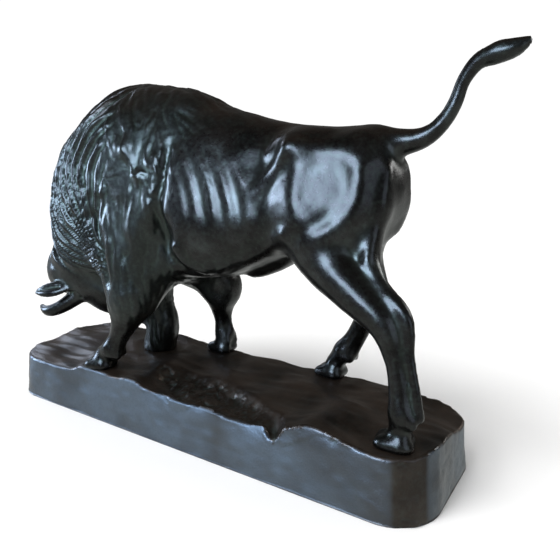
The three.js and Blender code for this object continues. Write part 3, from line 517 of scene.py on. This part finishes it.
def pointsOf(mesh):
    co = np.empty(len(mesh.vertices) * 3, np.float32)
    mesh.vertices.foreach_get("co", co)
    return co.reshape(-1, 3).astype(float)


def setPoints(mesh, points):
    mesh.vertices.foreach_set("co", (points * metre).astype(np.float32).ravel())
    mesh.update()


def setAttribute(mesh, name, values):
    attribute = mesh.attributes.new(name, "FLOAT", "POINT")
    attribute.data.foreach_set("value", values.astype(np.float32))


def edgesOf(mesh):
    edges = np.empty(len(mesh.edges) * 2, np.int32)
    mesh.edges.foreach_get("vertices", edges)
    return edges.reshape(-1, 2)


def spreadOver(edges, values, rounds):
    # evens values out over the surface, neighbour by neighbour
    count = len(values)
    a, b = edges.T
    degree = np.bincount(a, minlength=count) + np.bincount(b, minlength=count)
    for _ in range(rounds):
        total = (np.bincount(a, values[b], count) + np.bincount(b, values[a], count))
        values = 0.5 * values + 0.5 * total / np.maximum(degree, 1)
    return values


def relaxed(edges, points, share):
    # takes the finest ripples out of bare skin without thinning the limbs
    def blurred(values, rounds):
        return np.stack([spreadOver(edges, values[:, axis], rounds) for axis in range(3)], 1)
    change = blurred(points, 10) - points
    return points + share[:, None] * (change - blurred(change, 30))


def hollowness(edges, points, normals, rounds):
    # how far the surroundings stand above the surface, in millimetres: above zero in hollows, below on ridges
    blurred = np.stack([spreadOver(edges, points[:, axis], rounds) for axis in range(3)], 1)
    return ((blurred - points) * normals).sum(1)


# How the hair lies

hair = {
    "maneHub": (-60, 95),  # the point that the mane's locks are laid round
    "crestRadius": 122.0,
    "lean": 34.0,
    "lockPitch": 19.0,
    "lockDepth": 5.0,
    "lockLip": 0.78,  # where in a lock its steep lower side begins
    "tuftWidth": 8.0,
    "tuftLength": 40.0,
    "tuftDepth": 0.75,
    "strokeWidth": 4.4,
    "strokeLength": 30.0,
    "strokeDepth": 0.32,
}


def hairFlow(p):
    # the direction in which the hair grows at each place
    x, y, z = p.T
    side = np.where(y < 0, -1.0, 1.0)
    still, full = np.zeros(len(p)), np.ones(len(p))
    outX, outZ = hair["maneHub"][0] - x, z - hair["maneHub"][1]
    radius = np.hypot(outX, outZ) + 1e-9
    ct, st = outX / radius, outZ / radius
    lean = math.radians(hair["lean"])
    maneFlow = np.stack([-st * math.cos(lean) + ct * math.sin(lean),
                         side * 0.9 * (1 - smoothStep(np.abs(y), 4, 30)),
                         -ct * math.cos(lean) - st * math.sin(lean)], 1)
    capeFlow = np.stack([0.5 * full, side * 0.7 * smoothStep(z, 195, 225), -0.86 * full], 1)
    armFlow = np.stack([0.12 + 0.35 * np.sin(z / 9), still, -full], 1)
    backFlow = np.stack([full, side * 0.35, -0.3 * full], 1)
    faceFlow = np.stack([0.8 * full, still, -0.55 * full], 1)
    beardFlow = np.stack([0.05 * full, still, -full], 1)
    tipFlow = np.stack([0.92 * full, still, 0.3 * full], 1)
    onMane = smoothStep(-x, 62, 88)
    onBack = smoothStep(x, -30, 0) * smoothStep(z, 190, 205)
    onArm = (1 - smoothStep(z, 122, 140)) * smoothStep(x, -86, -76)
    onFace = (1 - smoothStep(z + 0.3 * (x + 150), 84, 98)) * smoothStep(-x, 96, 110)
    onBeard = (smoothStep(-x, 60, 72) * (1 - smoothStep(z, 40, 52))
               * smoothStep(y, -8, 0) * (1 - smoothStep(-x, 108, 118)))
    onTip = smoothStep(x, 150, 165) * smoothStep(z, 180, 190)
    flow = mix(capeFlow, maneFlow, onMane[:, None])
    flow = mix(flow, backFlow, onBack[:, None])
    flow = mix(flow, armFlow, onArm[:, None])
    flow = mix(flow, faceFlow, onFace[:, None])
    flow = mix(flow, beardFlow, onBeard[:, None])
    flow = mix(flow, tipFlow, onTip[:, None])
    swirled = 1 - smoothStep(np.hypot((x + 42) / 34, (z - 172) / 46), 0.55, 1.1)  # curls on the shoulder
    turn = 1.6 * ((0.16 + 0.75 * swirled) * noise(p, 19) + 0.14 * noise(p + 40, 8))
    turned = flow.copy()
    turned[:, 0] = flow[:, 0] * np.cos(turn) + flow[:, 2] * np.sin(turn)
    turned[:, 2] = flow[:, 2] * np.cos(turn) - flow[:, 0] * np.sin(turn)
    return turned


def hairCover(p):
    # how much hair there is at each place
    x, y, z = p.T
    edge = capeEdge(z) + 2.5 * noise(p, 7)
    cape = 1 - smoothStep(x, edge - 3, edge + 3)
    legs = smoothStep(z, 38, 56)  # the lower legs are bare
    crown = 1 - 0.75 * smoothStep(-x, 118, 132) * (1 - smoothStep(z + 0.25 * (x + 150), 76, 92))
    overBack = smoothStep(z, 200, 208) * (1 - smoothStep(x, 36, 70)) * 0.6
    fringe = (1 - smoothStep(np.abs(x - capeEdge(z) - 6), 4, 10)) * smoothStep(z, 92, 100) * 0.7
    underBarrel = nearPath(x, z, barrelEdge["path"], 12) * (1 - smoothStep(x, 34, 60)) * 0.8
    chin = (smoothStep(-x, 60, 70) * (1 - smoothStep(z, 48, 60)) * smoothStep(y, -8, -2)
            * (1 - smoothStep(-x, 108, 114)))
    tip = smoothStep(x, 196, 206) * smoothStep(z, 225, 235)
    cover = np.maximum.reduce([cape * legs * crown, overBack, fringe, underBarrel, chin, tip])
    besideBeard = 1 - smoothStep(y, 2, 22) * (1 - smoothStep(-x, 112, 120))
    muzzle = smoothStep(-x, 88, 92) * (1 - smoothStep(z, 50, 66)) * besideBeard
    return cover * (1 - 0.85 * muzzle * (1 - chin))


def strands(p, normals, width, length, steps=7):
    # random values drawn out along the lie of the hair, folded so that sharp creases part round tufts
    total = noise(p, width)
    for way in (-1, 1):
        q = p.copy()
        for _ in range(steps):
            flow = hairFlow(q)
            flow -= normals * (flow * normals).sum(1)[:, None]
            flow /= np.linalg.norm(flow, axis=1, keepdims=True) + 1e-9
            q = q + way * flow * length / (2 * steps)
            total = total + noise(q, width)
    total /= total.std() + 1e-9
    return np.minimum(np.abs(total), 1.7) - 0.75


def locks(p):
    # the big overlapping locks of the mane
    x, y, z = p.T
    cover = smoothStep(-x, 62, 92) * smoothStep(z, 70, 96)
    outX, outZ = hair["maneHub"][0] - x, z - hair["maneHub"][1]
    fromCrest = np.abs(y) + 0.7 * np.maximum(0, hair["crestRadius"] - np.hypot(outX, outZ))
    drop = 1.3 * fromCrest + 3 * np.sin(fromCrest / 9)
    phase = (np.arctan2(outZ, outX) * hair["crestRadius"] + drop + 3.5 * noise(p, 24)) / hair["lockPitch"]
    f = phase - np.floor(phase)
    lip = hair["lockLip"]
    dome = np.where(f < lip, np.sin(np.pi / 2 * f / lip), np.cos(np.pi / 2 * (f - lip) / (1 - lip)))
    return cover * hair["lockDepth"] * (dome - 0.62)


def sculptBull():
    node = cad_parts["bull"]
    piece = remeshed("bull_bronze", node, bull["voxel"])
    place = np.array(bull["place"])
    points, normals = drawnOnto(bullField, pointsOf(piece.data) / metre - place, rounds=4, reach=1.2)
    setPoints(piece.data, points + place)
    evened(piece, bull["voxel"])
    mesh = piece.data
    points, normals = drawnOnto(bullField, pointsOf(mesh) / metre - place, rounds=2, reach=1.0)
    print("bull drawn onto its form:", len(mesh.polygons), "faces")
    cover = hairCover(points)
    edges = edgesOf(mesh)
    fine = smoothStep(-points[:, 0], 140, 150) * (1 - smoothStep(points[:, 2], 62, 70))  # the head's features
    points = relaxed(edges, points, (1 - 0.8 * fine) * (1 - smoothStep(points[:, 0], 180, 192)))
    x, _, z = points.T
    tufts = hair["tuftDepth"] * strands(points, normals, hair["tuftWidth"], hair["tuftLength"])
    strokes = hair["strokeDepth"] * strands(points, normals, hair["strokeWidth"], hair["strokeLength"])
    calm = mix(1, 0.45, smoothStep(x, 150, 190))  # the tail's tip is combed smooth
    relief = locks(points) + cover * calm * (tufts + strokes)
    relief += 0.12 * noise(points, 6) + 0.3 * noise(points, 15)  # left by the modelling tool
    points = points + normals * relief[:, None]
    points[:, 2] = np.maximum(points[:, 2], 0.0)
    hollow = hollowness(edges, points, normals, 3)
    wide = hollowness(edges, points, normals, 24)
    setPoints(mesh, points + place)
    setAttribute(mesh, "hollow", np.clip(hollow / 0.5, -1, 1))
    crest = smoothStep(normals[:, 2], 0.35, 0.9) * smoothStep(z, 150, 185)
    setAttribute(mesh, "rubbed", crest)
    setAttribute(mesh, "grey", np.clip(0.5 * cover + 0.5 * wide / 2.0, 0, 1))
    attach(piece, "root")
    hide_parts("bull")
    return piece


# The plinth

plinth = {
    "voxel": 1.7,
    "length": 419.5,
    "width": 114.5,
    "height": 45.0,
    "draft": 3.5,
    "frontRadius": 36.0,
    "nearRearRadius": 34.0,
    "farRearRadius": 22.0,
    "cornerCut": 17.5,
    "cornerTurn": 36.0,
    "edgeRound": 1.6,
    "nearRim": [(-200, 38), (-113, 39.5), (-62, 43.5), (-42, 46.5), (-28, 43), (-5, 41.5), (31, 43.5),
                (80, 41.5), (108, 45), (126, 51), (156, 47), (180, 48), (207, 52)],
    "farRim": [(-200, 43), (-78, 47), (0, 44), (132, 46), (180, 42), (207, 36)],
    "swell": 1.6,
    "wave": 74.0,
    "gougePlace": (22.0, -33.0),
    "gougeDepth": 6.0,
    "gougeLength": 138.0,
    "gougeWidth": 46.0,
    "gougeTurn": -0.2,
    "notchPlace": 101.0,
    "notchDepth": 11.0,
    "notchWidth": 9.0,
    "notchSlant": 0.55,
    "notchReach": 26.0,
    "chip": 11.0,
    "chipDepth": 3.4,
    "rimChip": 24.0,
    "rimChipDepth": 2.2,
    "facet": 46.0,
    "footing": 17.0,
    "seatGap": 0.3,
}
nearRim = curveThrough(plinth["nearRim"])
farRim = curveThrough(plinth["farRim"])
chipTable = np.random.default_rng(11).uniform(-1, 1, (32, 32, 5))


def chips(u, v, size):
    # flat chips of broken rock, each with a height and a tilt of its own, between -1 and 1
    cellU, cellV = np.floor(u / size).astype(int), np.floor(v / size).astype(int)
    nearest, value = np.full(len(u), 1e9), np.zeros(len(u))
    for du in (-1, 0, 1):
        for dv in (-1, 0, 1):
            random = chipTable[(cellU + du) % 32, (cellV + dv) % 32]
            awayU = u / size - (cellU + du + 0.5 + 0.4 * random[:, 0])
            awayV = v / size - (cellV + dv + 0.5 + 0.4 * random[:, 1])
            away = np.hypot(awayU, awayV)
            height = 0.5 * random[:, 2] + 0.8 * awayU * random[:, 3] + 0.8 * awayV * random[:, 4]
            value = np.where(away < nearest, height, value)
            nearest = np.minimum(nearest, away)
    return value


def ground(x, y):
    # the height of the ground, how deep in the gouge a place lies, and how free of footing it is
    width = plinth["width"]
    across = smoothStep(y, -0.5 * width, 0.4 * width)
    swell = plinth["swell"] * (np.sin(2 * np.pi * (x + 0.6 * y) / plinth["wave"])
                               * np.cos(2 * np.pi * (y - 0.2 * x) / (0.9 * plinth["wave"])))
    height = mix(nearRim(x), farRim(x), across) + swell * smoothStep(y, -0.5 * width, -0.3 * width)
    gx, gy = x - plinth["gougePlace"][0], y - plinth["gougePlace"][1]
    gy = gy - plinth["gougeTurn"] * gx
    fromMiddle = 2 * np.hypot(gx / plinth["gougeLength"], gy / plinth["gougeWidth"])
    gouge = (1 - smoothStep(fromMiddle, 0.65, 1.1)) * smoothStep(y, -0.5 * width + 2, -0.5 * width + 9)
    height -= gouge * plinth["gougeDepth"]
    fromNotch = np.abs(x - plinth["notchPlace"] + plinth["notchSlant"] * (y + width / 2))
    cleft = np.maximum(0, 1 - fromNotch / plinth["notchWidth"])
    cleft *= 1 - smoothStep(y, -width / 2 + 4, -width / 2 + plinth["notchReach"])
    height -= plinth["notchDepth"] * cleft
    feet = [leg["hoof"] for leg in bull["legs"]] + [bull["beard"][-1][0]]
    level = np.ones(len(x))
    for foot in feet:
        away = np.hypot(x - foot[0] - bull["place"][0], y - foot[1] - bull["place"][1])
        level = np.minimum(level, smoothStep(away, plinth["footing"], 1.8 * plinth["footing"]))
    return mix(plinth["height"] - plinth["seatGap"], height, level), gouge * level, level


def crossed(a, b):
    # the distance to the solid that two walls, given by the distances to them, hold between them
    return np.hypot(np.maximum(a, 0), np.maximum(b, 0)) + np.minimum(np.maximum(a, b), 0)


def plinthField(p):
    x, y, z = p.T
    length, width = plinth["length"], plinth["width"]
    lean = plinth["draft"] * (1 - z / plinth["height"])
    rear = mix(plinth["nearRearRadius"], plinth["farRearRadius"], smoothStep(y, -width / 8, width / 8))
    radius = mix(plinth["frontRadius"], rear, smoothStep(x, -length / 4, length / 4))
    qx = np.abs(x) - length / 2 - lean + plinth["draft"] + radius
    qy = np.abs(y) - width / 2 - lean + plinth["draft"] + radius
    outside = crossed(qx, qy) - radius
    turn = math.radians(plinth["cornerTurn"])
    corner = (x - length / 2) * math.sin(turn) - (y + width / 2) * math.cos(turn) + plinth["cornerCut"] - lean
    edge = plinth["edgeRound"]
    return crossed(np.maximum(outside, corner) + edge, z - ground(x, y)[0] + edge) - edge


def sculptPlinth():
    piece = remeshed("plinth_bronze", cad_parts["plinth"], plinth["voxel"])
    mesh = piece.data
    points = pointsOf(mesh) / metre
    flat = points[:, 2] < 0.6 * plinth["voxel"]
    shape, normals = drawnOnto(plinthField, points, rounds=3, reach=2.0)
    normals[flat] = (0, 0, -1)
    shape[flat, 2] = 0
    x, y, z = shape.T
    level, gouge, loose = ground(x, y)
    top = smoothStep(normals[:, 2], 0.3, 0.8)
    wall = smoothStep(1 - np.abs(normals[:, 2]), 0.5, 0.9)
    small = chips(x + 3 * noise(shape, 9), y + 2 * noise(shape + 7, 9), plinth["chip"])
    smaller = chips(x + 50, y + 1.5 * noise(shape, 5), 0.45 * plinth["chip"])
    strokes = noise(shape * (0.35, 1, 1), 6)  # drawn out along the plinth by the modelling tool
    relief = top * loose * (0.6 * noise(shape, 18) + 0.8 * strokes)
    relief += gouge * top * (plinth["chipDepth"] * small + 1.5 * smaller)
    rim = np.exp(-((z - level) / 6) ** 2) * wall * smoothStep(x, -60, -20)
    ragged = plinth["rimChipDepth"] * chips(x + 4 * noise(shape, 12), 1.3 * z, plinth["rimChip"])
    ragged += 0.6 * chips(x, 1.5 * z, plinth["chip"]) - 0.4
    relief += rim * (1 - smoothStep(y, -50, -44)) * ragged
    hewn = chips(x + 0.5 * z + 4 * noise(shape, 20), z + 2 * noise(shape + 5, 20), plinth["facet"])
    hewn = (mix(0.5, 1.5, smoothStep(x, 60, 100)) * hewn + 0.7 * noise(shape, 22)
            + 0.35 * noise(shape * (0.5, 1, 1), 5))
    relief += wall * (1 - 0.3 * smoothStep(z, level - 14, level - 4)) * hewn
    relief[z < 1.5] *= 0.2  # the foot of the wall stays straight
    shape = shape + normals * (relief * ~flat)[:, None]
    shape[:, 2] = np.maximum(shape[:, 2], 0.0)
    edges = edgesOf(mesh)
    hollow = hollowness(edges, shape, normals, 3)
    setPoints(mesh, shape)
    setAttribute(mesh, "hollow", np.clip(hollow / 0.5, -1, 1))
    setAttribute(mesh, "rubbed", top * (1 - 0.5 * gouge))
    # painted reflection: the walls that face the sides and the ends get a pale blue-grey, as if they mirrored
    # the bright floor, broken into noisy patches; the side walls have less of it towards the right end, which
    # is painted shade
    side = smoothStep(np.abs(normals[:, 1]), 0.90, 0.95) * (1 - 0.5 * smoothStep(x, 60, 190))
    end = 0.8 * smoothStep(np.abs(normals[:, 0]), 0.86, 0.92)
    wearAndSheen = 0.85 + 0.35 * noise(shape, 26) + 0.2 * noise(shape, 8)
    setAttribute(mesh, "grey", np.clip(wall * np.maximum(side, end) * wearAndSheen, 0, 1))
    print("plinth sculpted:", len(mesh.polygons), "faces")
    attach(piece, "root")
    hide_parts("plinth")
    return piece


# Materials

def toLinear(code):
    values = [int(code[i:i + 2], 16) / 255 for i in (1, 3, 5)]
    return [v / 12.92 if v <= 0.04045 else ((v + 0.055) / 1.055) ** 2.4 for v in values] + [1.0]


def addNode(tree, kind, settings=None, inputs=None):
    node = tree.nodes.new(kind)
    for name, value in (settings or {}).items():
        setattr(node, name, value)
    for name, value in (inputs or {}).items():
        if isinstance(value, bpy.types.NodeSocket):
            tree.links.new(value, node.inputs[name])
        else:
            node.inputs[name].default_value = value
    return node


def patinatedBronze(name, settings):
    # Bronze casting, patinated dark brown with liver of sulphur, green-grey left in the hollows, then waxed
    material = bpy.data.materials.new(name)
    material.use_nodes = True
    tree = material.node_tree
    tree.nodes.clear()
    times = {"operation": "MULTIPLY", "use_clamp": True}
    timesPlus = {"operation": "MULTIPLY_ADD", "use_clamp": True}
    plus = {"operation": "ADD", "use_clamp": True}
    layer = {"data_type": "RGBA"}
    place = addNode(tree, "ShaderNodeTexCoord").outputs["Object"]
    cloud = addNode(tree, "ShaderNodeTexNoise", inputs={
        "Vector": place, "Scale": 1 / (settings["cloudSize"] * metre), "Detail": 5.0,
        "Roughness": 0.6}).outputs["Fac"]
    speck = addNode(tree, "ShaderNodeTexNoise", inputs={
        "Vector": place, "Scale": 1 / (settings["speckSize"] * metre), "Detail": 3.0,
        "Roughness": 0.6}).outputs["Fac"]
    grain = addNode(tree, "ShaderNodeTexNoise", inputs={
        "Vector": place, "Scale": 1 / (settings["grainSize"] * metre), "Detail": 4.0,
        "Roughness": 0.6}).outputs["Fac"]
    hollow = addNode(tree, "ShaderNodeAttribute", {"attribute_name": "hollow"}).outputs["Fac"]
    rubbed = addNode(tree, "ShaderNodeAttribute", {"attribute_name": "rubbed"}).outputs["Fac"]
    grey = addNode(tree, "ShaderNodeAttribute", {"attribute_name": "grey"}).outputs["Fac"]

    # the brown patina, from its darkest to its palest patches
    patina = addNode(tree, "ShaderNodeValToRGB", inputs={"Fac": cloud})
    stops = patina.color_ramp.elements
    stops.new(0.5)
    for stop, (position, colour) in zip(stops, settings["patina"]):
        stop.position = position
        stop.color = toLinear(colour)
    # the grey layer: grey-green patina in the figure's hair and broad hollows, and on the plinth's walls a
    # painted reflection of the floor; the rubbed colour laid over it is wear
    greyShare = addNode(tree, "ShaderNodeMath", times, {0: grey, 1: 0.85}).outputs[0]
    greyed = addNode(tree, "ShaderNodeMix", layer, {
        "Factor": greyShare, "A": patina.outputs["Color"], "B": toLinear(settings["greyed"])})
    patches = addNode(tree, "ShaderNodeMath", timesPlus, {0: cloud, 1: 2.4, 2: -0.75}).outputs[0]
    rubShare = addNode(tree, "ShaderNodeMath", times, {0: rubbed, 1: patches}).outputs[0]
    wearAndSheen = addNode(tree, "ShaderNodeMix", layer, {
        "Factor": rubShare, "A": greyed.outputs["Result"], "B": toLinear(settings["rub"])})
    # verdigris lies in the hollows, broken up by specks
    deep = addNode(tree, "ShaderNodeMath", times, {0: hollow, 1: 0.7}).outputs[0]
    specks = addNode(tree, "ShaderNodeMath", timesPlus, {0: speck, 1: 0.9, 2: -0.42}).outputs[0]
    green = addNode(tree, "ShaderNodeMath", plus, {0: deep, 1: specks}).outputs[0]
    greenShare = addNode(tree, "ShaderNodeMath", times, {0: green, 1: 0.8}).outputs[0]
    colour = addNode(tree, "ShaderNodeMix", layer, {
        "Factor": greenShare, "A": wearAndSheen.outputs["Result"], "B": toLinear(settings["verdigris"])})
    # the verdigris, the specks and the hair are duller than the waxed skin
    smooth, dull = settings["roughness"]
    rough = addNode(tree, "ShaderNodeMath", timesPlus, {0: green, 1: dull - smooth, 2: smooth}).outputs[0]
    rough = addNode(tree, "ShaderNodeMath", timesPlus, {0: speck, 1: 0.14, 2: rough}).outputs[0]
    rough = addNode(tree, "ShaderNodeMath", timesPlus, {0: grey, 1: 0.10, 2: rough}).outputs[0]
    bump = addNode(tree, "ShaderNodeBump", inputs={
        "Strength": settings["bump"], "Distance": settings["bumpHeight"] * metre, "Height": grain})
    shader = addNode(tree, "ShaderNodeBsdfPrincipled", inputs={
        "Base Color": colour.outputs["Result"], "Metallic": settings["metallic"], "Roughness": rough,
        "Normal": bump.outputs["Normal"], "Coat Weight": settings["wax"], "Coat Roughness": 0.18})
    addNode(tree, "ShaderNodeOutputMaterial", inputs={"Surface": shader.outputs["BSDF"]})
    return material


figureFinish = {
    # sizes in millimetres: clouds of colour, specks of verdigris and the grain of the cast skin
    "patina": [(0.32, "#131211"), (0.52, "#242322"), (0.70, "#3b3e3d")],
    "greyed": "#363d3a",
    "rub": "#3a281d",
    "verdigris": "#4a574c",
    "cloudSize": 30.0,
    "speckSize": 3.0,
    "grainSize": 1.6,
    "roughness": (0.22, 0.42),
    "metallic": 0.85,
    "bump": 0.2,
    "bumpHeight": 0.6,
    "wax": 0.2,
}
plinthFinish = {
    "patina": [(0.30, "#28221d"), (0.50, "#38312b"), (0.72, "#4a453e")],
    # greyed: on the plinth, the pale blue-grey of the painted reflection on its walls
    "greyed": "#66717b",
    "rub": "#55463b",
    "verdigris": "#444d47",
    "cloudSize": 38.0,
    "speckSize": 2.6,
    "grainSize": 1.4,
    "roughness": (0.32, 0.50),
    "metallic": 0.85,
    "bump": 0.35,
    "bumpHeight": 0.6,
    "wax": 0.2,
}

bullPiece = sculptBull()
bullPiece.data.materials.append(patinatedBronze("patinated cast bronze", figureFinish))
plinthPiece = sculptPlinth()
plinthPiece.data.materials.append(patinatedBronze("patinated ground bronze", plinthFinish))
print("materials made")


# Studio: a pale sweep of floor and large soft lights

studio = {
    "floorSize": 40.0,
    "floorColour": "#f6f6f6",
    "room": ("#e6e4e0", 0.14),
    "below": ("#e8ebe8", 0.78),
    "backdrop": ("#ffffff", 1.05),
}


def addFloor(settings):
    work = bmesh.new()
    bmesh.ops.create_grid(work, x_segments=1, y_segments=1, size=settings["floorSize"] / 2)
    mesh = bpy.data.meshes.new("floor")
    work.to_mesh(mesh)
    work.free()
    floor = bpy.data.objects.new("floor", mesh)
    bpy.context.scene.collection.objects.link(floor)
    material = bpy.data.materials.new("matt paper")
    material.use_nodes = True
    shader = material.node_tree.nodes["Principled BSDF"]
    shader.inputs["Base Color"].default_value = toLinear(settings["floorColour"])
    shader.inputs["Roughness"].default_value = 0.9
    shader.inputs["Specular IOR Level"].default_value = 0.1
    mesh.materials.append(material)
    floor.visible_glossy = False  # the bronze mirrors the dimmer table of the world in its place


def addWorld(settings):
    # a dim room over a paler table, with the white backdrop seen only directly
    world = bpy.data.worlds.new("studio")
    world.use_nodes = True
    tree = world.node_tree
    tree.nodes.clear()
    room = addNode(tree, "ShaderNodeBackground", inputs={
        "Color": toLinear(settings["room"][0]), "Strength": settings["room"][1]})
    below = addNode(tree, "ShaderNodeBackground", inputs={
        "Color": toLinear(settings["below"][0]), "Strength": settings["below"][1]})
    direction = addNode(tree, "ShaderNodeSeparateXYZ", inputs={
        0: addNode(tree, "ShaderNodeTexCoord").outputs["Generated"]})
    down = addNode(tree, "ShaderNodeMath", {"operation": "MULTIPLY", "use_clamp": True}, {
        0: direction.outputs["Z"], 1: -4.0})
    around = addNode(tree, "ShaderNodeMixShader", inputs={
        0: down.outputs[0], 1: room.outputs["Background"], 2: below.outputs["Background"]})
    backdrop = addNode(tree, "ShaderNodeBackground", inputs={
        "Color": toLinear(settings["backdrop"][0]), "Strength": settings["backdrop"][1]})
    seen = addNode(tree, "ShaderNodeLightPath").outputs["Is Camera Ray"]
    both = addNode(tree, "ShaderNodeMixShader", inputs={
        0: seen, 1: around.outputs[0], 2: backdrop.outputs["Background"]})
    addNode(tree, "ShaderNodeOutputWorld", inputs={"Surface": both.outputs["Shader"]})
    bpy.context.scene.world = world


def addLight(name, kind, place, target, strength, colour, size, part):
    data = bpy.data.lights.new(name, kind)
    if kind == "AREA":
        data.shape = "RECTANGLE"
        data.size, data.size_y = size
    else:
        data.angle = size
    data.energy = strength
    data.color = toLinear(colour)[:3]
    light = bpy.data.objects.new(name, data)
    bpy.context.scene.collection.objects.link(light)
    light.location = place
    light.visible_diffuse = part == "matt"
    light.visible_glossy = part == "gloss"
    direction = np.array(target, float) - np.array(place, float)
    yaw = math.atan2(direction[1], direction[0]) - math.pi / 2
    pitch = math.acos(-direction[2] / np.linalg.norm(direction))
    light.rotation_euler = (pitch, 0, yaw)


middle = (0, 0, 0.15)
addFloor(studio)
addWorld(studio)
# The daylight whitens the floor, and the windows show in the gloss of the bronze
addLight("daylight", "SUN", (-0.66, -1.1, 1.7), middle, 2.6, "#ffffff", math.radians(34), "matt")
addLight("ceiling", "SUN", (0, 0, 2), middle, 1.6, "#ffffff", math.radians(120), "matt")
addLight("window", "AREA", (-0.08, -1.5, 0.78), middle, 42, "#c8e0ff", (0.75, 0.65), "gloss")
addLight("left window", "AREA", (-1.6, -0.62, 0.42), middle, 24, "#c8e0ff", (0.5, 0.5), "gloss")
addLight("side window", "AREA", (-1.7, 0.45, 0.8), middle, 6, "#d6e6ff", (0.7, 0.8), "gloss")
addLight("right window", "AREA", (1.7, -0.5, 0.5), middle, 6, "#d6e6ff", (1.2, 1.0), "gloss")
addLight("rear window", "AREA", (1.2, 1.4, 0.9), middle, 10, "#ffffff", (0.7, 0.7), "gloss")
bpy.context.scene.view_settings.view_transform = "Standard"
print("studio lit")
